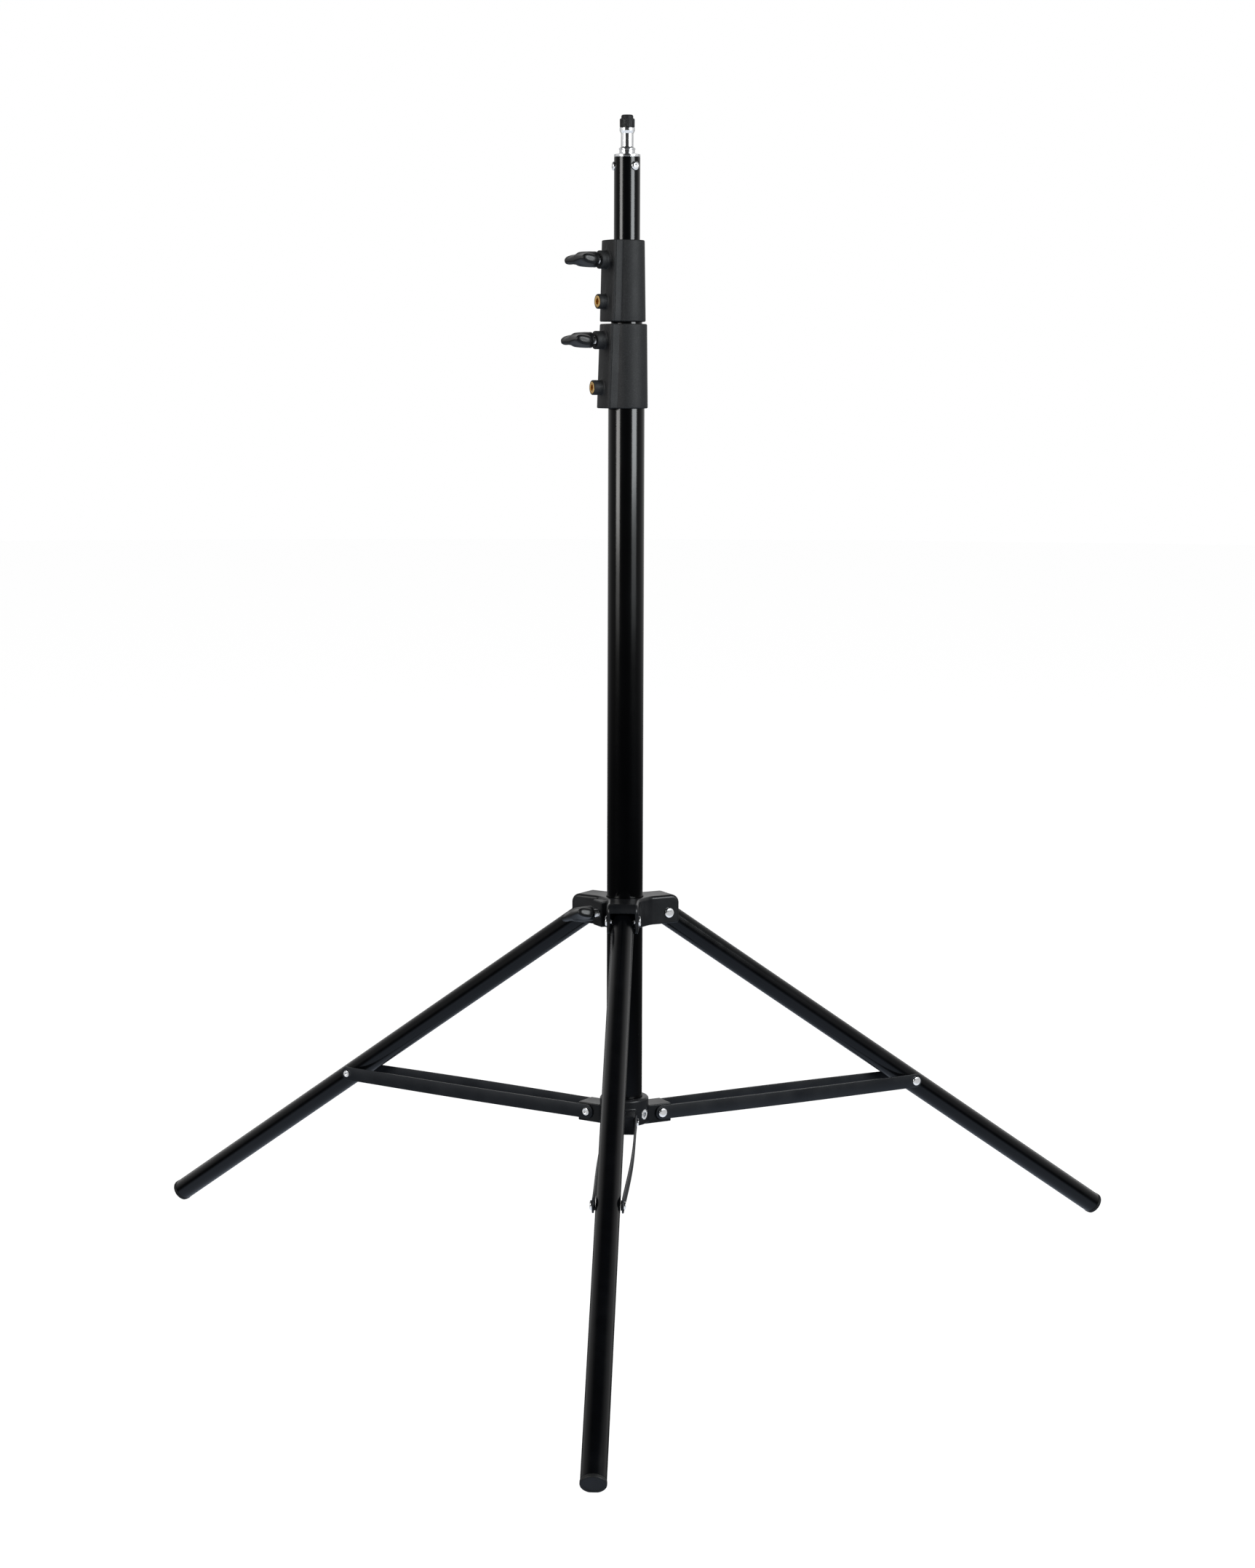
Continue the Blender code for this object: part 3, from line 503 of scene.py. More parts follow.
def surface(distance, low, high, cell):
    """Closed mesh of the zero level of distance(x, y, z), by surface nets.

    One vertex for each cell that the surface crosses, then pulled onto the surface."""
    low, high = np.array(low, float), np.array(high, float)
    counts = np.ceil((high - low) / cell).astype(int) + 1
    ticks = [low[i] + cell * np.arange(counts[i]) for i in range(3)]
    value = distance(*np.meshgrid(*ticks, indexing="ij"))
    inside = value < 0
    cells = np.array(value.shape) - 1
    flat = lambda index: np.ravel_multi_index(tuple(index.T), cells)
    keys, places, quads = [], [], []
    for axis in range(3):
        step = np.eye(3, dtype=int)[axis]
        here = [slice(None)] * 3
        there = [slice(None)] * 3
        here[axis], there[axis] = slice(0, -1), slice(1, None)
        edges = np.argwhere(inside[tuple(here)] != inside[tuple(there)])
        first = value[tuple(edges.T)]
        second = value[tuple((edges + step).T)]
        cross = edges + step * (first / (first - second))[:, None]
        u, v = (axis + 1) % 3, (axis + 2) % 3
        corners = []
        for du, dv in ((0, 0), (-1, 0), (-1, -1), (0, -1)):
            around = edges.copy()
            around[:, u] += du
            around[:, v] += dv
            corners.append(flat(around))
            keys.append(corners[-1])
            places.append(cross)
        quad = np.stack(corners, 1)
        outward = first < 0
        quads.append(np.where(outward[:, None], quad, quad[:, ::-1]))
    keys, places, quads = (np.concatenate(part) for part in (keys, places, quads))
    used, index = np.unique(keys, return_inverse=True)
    number = np.bincount(index)
    points = np.stack([np.bincount(index, places[:, i]) / number for i in range(3)], 1)
    points = low + points * cell
    reach_in = cell * 0.05
    for _ in range(4):
        d = distance(*points.T)
        slope = np.stack([distance(*(points + reach_in * np.eye(3)[i]).T)
                          - distance(*(points - reach_in * np.eye(3)[i]).T)
                          for i in range(3)], 1) / (2 * reach_in)
        size = np.maximum((slope ** 2).sum(1), 0.05)
        move = (d / size)[:, None] * slope
        points -= np.clip(move, -0.4 * cell, 0.4 * cell)
    faces = np.searchsorted(used, quads)
    mesh = bpy.data.meshes.new("surface")
    mesh.from_pydata(points.tolist(), [], faces.tolist())
    bm = bmesh.new()
    bm.from_mesh(mesh)
    bpy.data.meshes.remove(mesh)
    return bm


def fold(x, y, azimuths):
    """Distance along and across the nearest of several arms about the column's axis."""
    along = np.full(np.shape(x), -1.0)
    across = np.zeros(np.shape(x))
    for azimuth in azimuths:
        u = x * math.cos(azimuth) + y * math.sin(azimuth)
        v = y * math.cos(azimuth) - x * math.sin(azimuth)
        nearer = u > along
        along = np.where(nearer, u, along)
        across = np.where(nearer, np.abs(v), across)
    return along, across


def azimuth_of(matrix):
    return math.atan2(matrix[1][0], matrix[0][0])


# Column ---------------------------------------------------------------------------------
UPRIGHT = Matrix.Translation(AXIS)


def column():
    for node, radius, low, high, body in (("base_tube", BASE_R, BASE_LOW, BASE_HIGH, "base"),
                                          ("mid_tube", MID_R, MID_LOW, MID_HIGH, "mid"),
                                          ("top_tube", TOP_R, TOP_LOW, TOP_HIGH, "top")):
        piece(f"fine_{node}", pipe(radius, radius - WALL, low, high), UPRIGHT, body, node)
    low, high = span("base_tube_plug")
    seat = BASE_LOW - GAP
    plug_r = BASE_R - WALL - GAP
    profile = [(4.0 * MM, low.z + 1.2 * MM), (9.0 * MM, low.z + 1.2 * MM),
               (10.0 * MM, low.z), (BASE_R, low.z), (BASE_R, seat), (plug_r, seat),
               (plug_r, high.z), (plug_r - 1.5 * MM, high.z)]
    plug = turned(fillet(profile, 0.6 * MM))
    piece("fine_base_tube_plug", plug, UPRIGHT, "base", "base_tube_plug")
    for node in ("mid_piston", "top_piston", "base_pad", "mid_pad", "spider_pad"):
        frame["nodes"][node].data.materials[0] = MATERIALS[SLOT_OF[node]]


# Clamps ---------------------------------------------------------------------------------
LUG_HALF = 14.0 * MM
LUG_CORNER = 1.6 * MM
LUG_BULGE = 1.6 * MM
KNOB_BOSS_R = 8.7 * MM
SCREW_BOSS_R = 7.1 * MM
STUD_R = 4.0 * MM
# lower and upper shape of each clamp: radius of the round side, length of the lug,
# and where the lug's flat flank starts
CLAMP_SHAPES = {"base": ((20.5 * MM, 25.1 * MM, 17.0 * MM), (19.6 * MM, 22.2 * MM, 14.5 * MM)),
                "mid": ((18.2 * MM, 22.1 * MM, 14.0 * MM), (17.05 * MM, 20.1 * MM, 12.1 * MM))}


def arc_points(center, radius, start, end, steps):
    return [(center[0] + radius * math.cos(math.radians(start + (end - start) * k / steps)),
             center[1] + radius * math.sin(math.radians(start + (end - start) * k / steps)))
            for k in range(steps + 1)]


def clamp_outline(round_r, lug, flank):
    """Round body with a flat-flanked lug along +X; a fine groove lines each flank."""
    flare = math.degrees(math.acos(flank / (round_r + 4.5 * MM)))
    groove = 0.70 * MM
    back = arc_points((0, 0), round_r, flare, 360 - flare, 84)
    start = Vector(back[-1])
    corner = Vector((flank, -LUG_HALF))
    valley = start.lerp(corner, 0.5) + Vector((0, groove))
    end = lug - LUG_CORNER
    side = [(valley.x, valley.y), (corner.x, corner.y)]
    side += [(flank + (end - flank) * t, -LUG_HALF) for t in (0.25, 0.5, 0.75)]
    side += [(end - 0.9 * MM, -LUG_HALF), (end - 0.55 * MM, -LUG_HALF + 0.4 * MM),
             (end - 0.2 * MM, -LUG_HALF)]
    side += arc_points((end, -LUG_HALF + LUG_CORNER), LUG_CORNER, -84, -12, 6)
    top = LUG_HALF - LUG_CORNER
    face = [(lug + LUG_BULGE * (1 - (y / LUG_HALF) ** 2), y)
            for y in np.linspace(-top, top, 15)]
    other = [(x, -y) for x, y in reversed(side)]
    return np.array(back + side + face + other)


def inward(outline):
    """Unit vectors pointing into a counter-clockwise outline, smoothed over its grooves."""
    along = np.roll(outline, -2, 0) - np.roll(outline, 2, 0)
    normal = np.stack([-along[:, 1], along[:, 0]], 1)
    normal = sum(np.roll(normal, k, 0) for k in (-1, 0, 1))
    return normal / np.linalg.norm(normal, axis=1)[:, None]


def stack(rings):
    """Closed mesh through rings of points that all have the same count."""
    bm = bmesh.new()
    loops = [[bm.verts.new(point) for point in ring] for ring in rings]
    count = len(loops[0])
    for lower, upper in zip(loops, loops[1:]):
        for k in range(count):
            n = (k + 1) % count
            bm.faces.new((lower[k], lower[n], upper[n], upper[k]))
    bm.faces.new(loops[0][::-1])
    bm.faces.new(loops[-1])
    return bm


def boss(radius, root, face, end, grooves):
    """Round boss along X that flares into the face it stands on."""
    flare = 1.9 * MM
    profile = [(radius + flare, root), (radius + flare, face - 0.35 * MM)]
    for k in range(1, 7):
        angle = math.pi / 2 * k / 6
        profile.append((radius + flare * (1 - math.sin(angle)),
                        face - 0.35 * MM + flare * (1 - math.cos(angle))))
    at = face + flare + 0.4 * MM
    for k in range(grooves):
        middle = at + k * 0.95 * MM
        profile += [(radius, middle - 0.22 * MM), (radius - 0.14 * MM, middle),
                    (radius, middle + 0.22 * MM)]
    edge = 0.9 * MM
    profile += [(radius, end - edge)]
    profile += [(radius - edge * (1 - math.cos(a)), end - edge + edge * math.sin(a))
                for a in (math.pi / 8, math.pi / 4, math.pi * 3 / 8, math.pi / 2)]
    return turned(profile, 72, "X")


def clamp(name, tube_r, inner_r, step_z):
    """Tapered moulding with two bosses, bored for the tubes, the knob and the set screw."""
    matrix = knob_frame(name)
    node = f"{name}_clamp"
    low, high = reach(node, matrix)
    bottom, top = low[2], high[2]
    lower, upper = (np.array(shape) for shape in CLAMP_SHAPES[name])
    rings = []
    edge = 1.3 * MM
    levels = [(bottom + edge * (1 - math.sin(a)), edge * (1 - math.cos(a)))
              for a in np.linspace(math.pi / 2, 0, 6)]
    levels += [(bottom + (top - bottom) * t, 0.0) for t in np.linspace(0.1, 0.9, 9)]
    levels += [(top - edge * (1 - math.sin(a)), edge * (1 - math.cos(a)))
               for a in np.linspace(0, math.pi / 2, 6)]
    for height, inset in levels:
        mix = (height - bottom) / (top - bottom)
        outline = clamp_outline(*(lower + (upper - lower) * mix))
        outline = outline + inward(outline) * inset
        rings.append([(x, y, height) for x, y in outline])
    body = piece(f"fine_{node}", stack(rings), matrix, name, node)
    knob_z = JOINTS[f"{name}_knob_turn"]["pos_m"][2]
    screw_low, screw_high = reach(f"{node}_set_screw", matrix)
    screw_z = (screw_low[2] + screw_high[2]) / 2
    screw_end = screw_high[0] - GAP
    knob_end = BOSS_END[name]
    for radius, z, end, grooves in ((KNOB_BOSS_R, knob_z, knob_end, 3),
                                    (SCREW_BOSS_R, screw_z, screw_end, 3)):
        mix = (z - bottom) / (top - bottom)
        face = lower[1] + (upper[1] - lower[1]) * mix + LUG_BULGE
        drill(body, boss(radius, inner_r + 2.5 * MM, face, end, grooves),
              Matrix.Translation((0, 0, z)), "UNION")
    lead = 0.6 * MM
    bore = [(tube_r + GAP + lead, bottom - 1.0 * MM), (tube_r + GAP + lead, bottom),
            (tube_r + GAP, bottom + lead), (tube_r + GAP, step_z), (inner_r, step_z),
            (inner_r, top - lead), (inner_r + lead, top), (inner_r + lead, top + 1.0 * MM)]
    drill(body, turned(bore, 112))
    hole = [(STUD_R + GAP, inner_r - 2.0 * MM), (STUD_R + GAP, knob_end - 0.5 * MM),
            (STUD_R + 0.9 * MM, knob_end), (STUD_R + 0.9 * MM, knob_end + 1.0 * MM)]
    drill(body, turned(hole, 48, "X"), Matrix.Translation((0, 0, knob_z)))
    screw_r = (screw_high[2] - screw_low[2]) / 2
    hole = [(screw_r + 0.15 * MM, screw_low[0] - 0.5 * MM),
            (screw_r + 0.15 * MM, screw_end - 0.3 * MM), (screw_r + 0.5 * MM, screw_end),
            (screw_r + 0.5 * MM, screw_end + 1.0 * MM)]
    drill(body, turned(hole, 48, "X"), Matrix.Translation((0, 0, screw_z)))
    crisp(body, 28)
    set_screw(f"{node}_set_screw", matrix, name, 0.58)


def set_screw(node, matrix, body, socket):
    """Headless screw along X; socket is the hexagon's size as a share of the radius."""
    low, high = reach(node, matrix)
    radius = (high[2] - low[2]) / 2
    length = high[0] - low[0]
    middle = (low + high) / 2
    place = matrix @ Matrix.Translation((high[0], middle[1], middle[2]))
    rim = 0.5 * MM
    profile = [(radius, -length), (radius, -rim), (radius - 0.15 * MM, -rim * 0.35),
               (radius - rim, 0.0), (radius * socket + 0.35 * MM, 0.0),
               (radius * socket + 0.1 * MM, -0.2 * MM, "hex"),
               (radius * socket, -0.45 * MM, "hex"), (radius * socket, -0.62 * length, "hex"),
               (radius * 0.15, -0.75 * length)]
    piece(f"fine_{node}", turned(profile, 72, "X"), place, body, node)


# Lock knobs -----------------------------------------------------------------------------
BOSS_END = {"base": 33.5 * MM, "mid": 30.2 * MM, "spider": 30.6 * MM}
KNOB_TILT = {"base": 0.0, "mid": 0.0, "spider": 15.0}
THREAD = 1.5 * MM


def wing_field(x, y, z):
    """Hub and two swept, dished wings; X outwards from the knob's inner face."""
    t = np.clip(np.abs(y) / (21.0 * MM), 0, 1.2)
    side = np.sign(y)
    middle = 12.2 * MM + 4.2 * MM * t ** 1.6
    long = 11.4 * MM - 4.0 * MM * t ** 1.5
    thick = 6.9 * MM - 3.6 * MM * np.minimum(t, 1.0) ** 0.8
    turn = np.radians(13.0) * side * t
    u = (x - middle) * np.cos(turn) + z * np.sin(turn)
    w = z * np.cos(turn) - (x - middle) * np.sin(turn)
    outer = np.clip(u / long, -1, 1)
    thick = thick * (1 - 0.24 * np.clip(outer, 0, 1) ** 1.5)
    thick = thick + 0.9 * MM * np.exp(-((t - 0.93) / 0.16) ** 2)
    ring = (np.abs(u / long) ** 3.4 + np.abs(w / thick) ** 2.6) ** (1 / 3.0)
    wing = (ring - 1) * np.minimum(long, thick) * 0.8
    tip = np.abs(y) - 21.0 * MM
    wing = both(wing, tip, 1.9 * MM)
    radial = np.hypot(y, z)
    hub_r = 7.3 * MM - 0.10 * np.clip(x - 4 * MM, 0, 1)
    hub = both(both(radial - hub_r, -x, 0.9 * MM), x - 19.5 * MM, 2.4 * MM)
    neck = both(both(radial - 7.5 * MM, -x, 0.7 * MM), x - 3.0 * MM, 0.7 * MM)
    body = either(either(wing, hub, 1.8 * MM), neck, 0.4 * MM)
    socket = both(radial - 4.5 * MM, x - 1.2 * MM, 0.3 * MM)
    return both(body, -socket, 0.3 * MM)


def lock_knob(name):
    matrix = knob_frame(name)
    node = f"{name}_knob"
    joint = JOINTS[f"{name}_knob_turn"]
    tilt = Matrix.Rotation(math.radians(KNOB_TILT[name]), 4, "X")
    axis = matrix @ Matrix.Translation((0, 0, joint["pos_m"][2])) @ tilt
    start = reach(node, matrix)[0][0]
    bm = surface(wing_field, (-1.0 * MM, -23 * MM, -10 * MM), (28 * MM, 23 * MM, 10 * MM),
                 0.5 * MM)
    piece(f"fine_{node}", bm, axis @ Matrix.Translation((start, 0, 0)), node, node, 0)
    low, high = reach(f"{node}_stud", axis)
    stud = thread(STUD_R, low[0], high[0])
    piece(f"fine_{node}_stud", stud, axis, node, f"{node}_stud", 60)


def thread(radius, low, high):
    """Rod along X with a helical thread, plain for the last turn at each end."""
    sides = 36
    steps = int((high - low) / (THREAD / 8))
    rings = []
    for k in range(steps + 1):
        z = low + (high - low) * k / steps
        fade = min(1.0, (z - low) / THREAD, (high - z) / THREAD)
        ring = []
        for j in range(sides):
            phase = (z / THREAD - j / sides) % 1.0
            depth = 0.55 * MM * (1 - abs(2 * phase - 1)) * fade
            angle = 2 * math.pi * j / sides
            r = radius - depth
            ring.append((z, r * math.cos(angle), r * math.sin(angle)))
        rings.append(ring)
    return stack(rings)


# Spigot ---------------------------------------------------------------------------------
def spigot():
    seat = TOP_HIGH + GAP
    cap_low, cap_high = span("spigot_cap")
    bottom = span("spigot")[0].z
    shoulder = seat + 2.3 * MM
    flange = shoulder + 5.4 * MM
    head = cap_low.z - 3.4 * MM
    plug_r = TOP_R - WALL - GAP
    profile = [(plug_r - 0.6 * MM, bottom), (plug_r, bottom + 0.5 * MM), (plug_r, seat),
               (TOP_R + 0.1 * MM, seat), (TOP_R + 0.1 * MM, shoulder), (7.9 * MM, shoulder),
               (7.9 * MM, shoulder + 0.5 * MM), (7.4 * MM, shoulder + 1.0 * MM),
               (7.4 * MM, flange - 1.1 * MM), (7.9 * MM, flange - 0.6 * MM),
               (7.9 * MM, flange), (6.0 * MM, flange + 1.5 * MM), (6.0 * MM, head - 2.2 * MM),
               (7.3 * MM, head + 0.3 * MM), (7.3 * MM, cap_low.z - GAP),
               (4.6 * MM, cap_low.z - GAP), (4.6 * MM, cap_high.z - 4.2 * MM),
               (4.0 * MM, cap_high.z - 3.6 * MM)]
    rounding = [0, 0, 0, 0.3, 0.45, 0.3, 0.2, 0.2, 0.2, 0.2, 0.4, 0.9, 1.4, 0.8, 0.4, 0, 0, 0]
    bm = turned(fillet(profile, [r * MM for r in rounding]), 112)
    piece("fine_spigot", bm, UPRIGHT, "top", "spigot")
    for number in (1, 2, 3):
        button_screw(f"spigot_screw_{number}")
    cap(cap_low.z, cap_high.z)


def button_screw(node):
    """Button head with a hexagon socket, lying on the tube."""
    low, high = span(node)
    middle = Vector(node_points(node).mean(0))
    matrix = upright((middle.x - AXIS.x, middle.y - AXIS.y, 0),
                     (AXIS.x, AXIS.y, (low.z + high.z) / 2))
    base = TOP_R - 0.35 * MM
    profile = [(2.0 * MM, base - 5.0 * MM), (2.0 * MM, base), (4.2 * MM, base),
               (4.3 * MM, base + 0.8 * MM), (4.1 * MM, base + 1.3 * MM),
               (3.5 * MM, base + 1.9 * MM), (2.7 * MM, base + 2.3 * MM),
               (2.0 * MM, base + 2.4 * MM), (1.75 * MM, base + 2.3 * MM, "hex"),
               (1.65 * MM, base + 2.1 * MM, "hex"), (1.65 * MM, base + 0.9 * MM, "hex"),
               (0.3 * MM, base + 0.5 * MM)]
    piece(f"fine_{node}", turned(profile, 60, "X"), matrix, "top", node)


def cap(low, high):
    """Push-on cap with a ribbed skirt and a plain round top."""
    ribs = 30

    def ribbed(angle, radius, height):
        share = min(max((high - 3.9 * MM - height) / (0.8 * MM), 0.0), 1.0)
        wave = max(0.0, math.cos(ribs * angle)) ** 0.6
        outer = radius > 6.2 * MM
        return radius - 0.42 * MM * share * (1 - wave) if outer else radius

    profile = [(5.0 * MM, high - 2.6 * MM), (5.0 * MM, low + 0.4 * MM), (5.4 * MM, low),
               (6.7 * MM, low), (7.1 * MM, low + 0.4 * MM), (7.1 * MM, low + 2.6 * MM),
               (7.15 * MM, high - 5.0 * MM), (7.1 * MM, high - 4.3 * MM),
               (6.8 * MM, high - 3.7 * MM), (5.9 * MM, high - 3.4 * MM),
               (5.75 * MM, high - 3.0 * MM), (5.7 * MM, high - 1.1 * MM),
               (5.3 * MM, high - 0.4 * MM), (4.6 * MM, high), (3.6 * MM, high),
               (3.3 * MM, high - 0.35 * MM), (0.4 * MM, high - 0.4 * MM)]
    bm = turned(profile, ribs * 8, ribs=ribbed)
    piece("fine_spigot_cap", bm, UPRIGHT, "cap", "spigot_cap", 40)


# Spider ---------------------------------------------------------------------------------
SPIDER_HUB_R = 23.5 * MM
CHEEK_INNER = 12.2 * MM
CHEEK_OUTER = 15.2 * MM
WEB = 2.8 * MM


def spider():
    low, high = span("spider")
    bottom, top = low.z, high.z
    azimuths = [azimuth_of(arm_frame(side)) for side in SIDES]
    end = reach("spider", arm_frame("front"))[1][0]
    hinge = Vector(JOINTS["leg_front_hinge"]["pos_m"])
    pivot_r = (hinge - AXIS).xy.length
    lip = top - 8.3 * MM
    knob = azimuth_of(knob_frame("spider"))
    knob_z = JOINTS["spider_knob_turn"]["pos_m"][2]
    boss_end = BOSS_END["spider"]

    def field(x, y, z):
        radial = np.hypot(x, y)
        u, v = fold(x, y, azimuths)
        plan = either(radial - SPIDER_HUB_R, v - CHEEK_OUTER, 4.6 * MM)
        crown = both(u - end, z - top, 8.5 * MM)
        solid = both(both(plan, crown, 3.0 * MM), bottom - z, 1.1 * MM)
        foot = both(u - end, bottom - z, 3.0 * MM)
        solid = np.maximum(solid, foot)
        bu = x * math.cos(knob) + y * math.sin(knob)
        bv = np.abs(y * math.cos(knob) - x * math.sin(knob))
        block = both(both(bv - 8.8 * MM, bu - boss_end, 1.2 * MM),
                     np.abs(z - (bottom + top - 1.4 * MM) / 2) - (top - bottom - 3.0 * MM) / 2,
                     1.2 * MM)
        block = np.maximum(block, 15.0 * MM - bu)
        solid = either(solid, block, 2.0 * MM)
        inner = either(crown + WEB, z - lip, 1.0 * MM)
        channel = both(both(v - CHEEK_INNER, SPIDER_HUB_R + 0.5 * MM - u, 1.5 * MM), inner,
                       1.2 * MM)
        solid = both(solid, -channel, 0.6 * MM)
        pivot = LEG_HOLE_R - np.hypot(u - pivot_r, z - hinge.z)
        solid = both(solid, pivot, 0.3 * MM)
        stud = both(STUD_R + 0.5 * MM - np.hypot(bv, z - knob_z), -bu, 0.1 * MM)
        solid = both(solid, np.where(bu > 0, stud, 1.0 * -np.abs(bu) - 1.0 * MM), 0.4 * MM)
        return both(solid, BASE_R + SLIDE_FIT - radial, 0.7 * MM)

    span_r = end + 2 * MM
    bm = surface(field, (-span_r, -span_r, bottom - 2 * MM), (span_r, span_r, top + 2 * MM),
                 0.55 * MM)
    piece("fine_spider", bm, UPRIGHT, "spider", "spider", 0)


def dome(radius, height, base, way, steps=12):
    """Points of a low dome with a rounded rim, from its seat out to its tip."""
    rim = height * 0.38
    points = [(radius, base * way)]
    for angle in np.linspace(0, math.radians(87), steps):
        across = radius * math.cos(angle) ** 0.62 + 0.02 * MM
        points.append((across, (base + rim + (height - rim) * math.sin(angle) ** 0.9) * way))
    return points


def socket(radius, height, base, way):
    """Points of a button head with a hexagon socket, seat first."""
    tip = base + height
    return [(radius, base * way), (radius, (tip - 0.5 * MM) * way),
            (radius - 0.15 * MM, (tip - 0.15 * MM) * way), (radius - 0.5 * MM, tip * way),
            (radius * 0.62, tip * way), (radius * 0.55, (tip - 0.2 * MM) * way, "hex"),
            (radius * 0.52, (tip - 0.4 * MM) * way, "hex"),
            (radius * 0.52, (tip - 1.3 * MM) * way, "hex"),
            (radius * 0.1, (tip - 1.5 * MM) * way)]


def headed_pin(shank, base, lower, upper):
    """Shank along Y between two heads, each given as points from its seat outwards."""
    profile = lower[::-1] + [(shank, -base), (shank, base)] + upper
    return turned(profile, 56, "Y")


def rivets():
    for side in SIDES:
        pivot = Vector(JOINTS[f"leg_{side}_hinge"]["pos_m"])
        matrix = Matrix.Translation(pivot) @ arm_frame(side).to_3x3().to_4x4()
        base = CHEEK_OUTER + 0.1 * MM
        pin = headed_pin(3.0 * MM, base, dome(4.9 * MM, 2.2 * MM, base, -1),
                         dome(4.9 * MM, 2.2 * MM, base, 1))
        piece(f"fine_spider_rivet_{side}", pin, matrix, "spider", f"spider_rivet_{side}")


# Legs -----------------------------------------------------------------------------------
def leg(side):
    matrix = leg_frame(side)
    body = f"leg_{side}"
    low, high = reach(body, matrix)
    tube = piece(f"fine_{body}", pipe(LEG_R, LEG_R - 1.2 * MM, low[0], high[0], "X", 112),
                 matrix, body, body)
    drill(tube, turned([(LEG_HOLE_R, -20 * MM), (LEG_HOLE_R, 20 * MM)], 32, "Y"))
    crisp(tube, 32)
    low, high = reach(f"foot_{side}", matrix)
    start, end = low[0], high[0]
    radius = LEG_R + 0.3 * MM
    plug_r = LEG_R - 1.5 * MM
    flange = tube_end(side) + GAP
    profile = [(plug_r - 0.6 * MM, start), (plug_r, start + 1.0 * MM), (plug_r, flange),
               (radius, flange), (radius, end), (8.6 * MM, end), (8.2 * MM, end - 0.35 * MM),
               (1.0 * MM, end - 0.35 * MM)]
    rounding = [0, 0, 0, 0.5, 1.1, 0.3, 0.3, 0]
    foot = piece(f"fine_foot_{side}",
                 turned(fillet(profile, [r * MM for r in rounding], 6), 96, "X"), matrix,
                 body, f"foot_{side}")
    inverse = matrix.inverted()
    for vertex in foot.data.vertices:
        place = matrix @ vertex.co
        if place.z < 0:
            place.z = 0
            vertex.co = inverse @ place
    for mark in "ab":
        node = f"leg_{side}_washer_{mark}"
        low, high = reach(node, matrix)
        middle = (low + high) / 2
        edge = 0.15 * MM
        y_low, y_high = low[1] - middle[1], high[1] - middle[1]
        washer = turned(fillet([(1.0 * MM, y_low), (4.6 * MM, y_low), (4.6 * MM, y_high),
                                (1.0 * MM, y_high)], edge), 48, "Y")
        piece(f"fine_{node}", washer, matrix @ Matrix.Translation(middle), body, node)


def tube_end(side):
    return reach(f"leg_{side}", leg_frame(side))[1][0]


# Braces ---------------------------------------------------------------------------------
def bar(length, side_y):
    """Flat bar with round ends, bowed outwards a little between its bolts."""
    edge = 0.35 * MM
    bow = 2.2 * MM
    away = 1 if side_y > 0 else -1
    runs = [BAR_HALF * (1 - math.cos(a)) for a in np.linspace(math.radians(4), math.pi / 2, 12)]
    stations = [-BAR_HALF + run for run in runs]
    stations += list(np.linspace(0, length, 40)[1:-1])
    stations += [length + BAR_HALF - run for run in reversed(runs)]
    rings = []
    for x in stations:
        past = max(-x, x - length, 0.0)
        height = math.sqrt(max(BAR_HALF ** 2 - past ** 2, 0.0))
        share = min(max(x / length, 0.0), 1.0)
        shift = away * bow * math.sin(math.pi * share) ** 1.3
        ring = []
        for cy, cz, start in ((1, 1, 0), (-1, 1, 90), (-1, -1, 180), (1, -1, 270)):
            for k in range(4):
                angle = math.radians(start + 30 * k)
                y = cy * (BAR_THICK / 2 - edge) + edge * math.cos(angle)
                z = cz * max(height - edge, 0.02 * MM) + edge * math.sin(angle)
                ring.append((x, side_y + y + shift, z))
        rings.append(ring)
    return stack(rings)


def brace(side):
    matrix = brace_frame(side)
    body = f"brace_{side}"
    length = reach(f"{body}_bar_a", matrix)[1][0] - BAR_HALF
    middle = BAR_INNER + BAR_THICK / 2
    for mark, way in (("a", 1), ("b", -1)):
        node = f"{body}_bar_{mark}"
        piece(f"fine_{node}", bar(length, middle * way), matrix, body, node, 50)
    base = BOLT_SEAT
    there = matrix @ Matrix.Translation((length, 0, 0))
    head = turned([(1.0 * MM, base)] + socket(3.4 * MM, 1.7 * MM, base, 1), 56, "Y")
    piece(f"fine_{body}_bolt_a", head, there, body, f"{body}_bolt_a")
    head = turned(dome(*BOLT_DOME, base, -1)[::-1] + [(1.0 * MM, -base)], 56, "Y")
    piece(f"fine_{body}_bolt_b", head, there, body, f"{body}_bolt_b")


# Lower collar ---------------------------------------------------------------------------
COLLAR_HUB_R = 24.0 * MM
TONGUE_HALF = 12.1 * MM


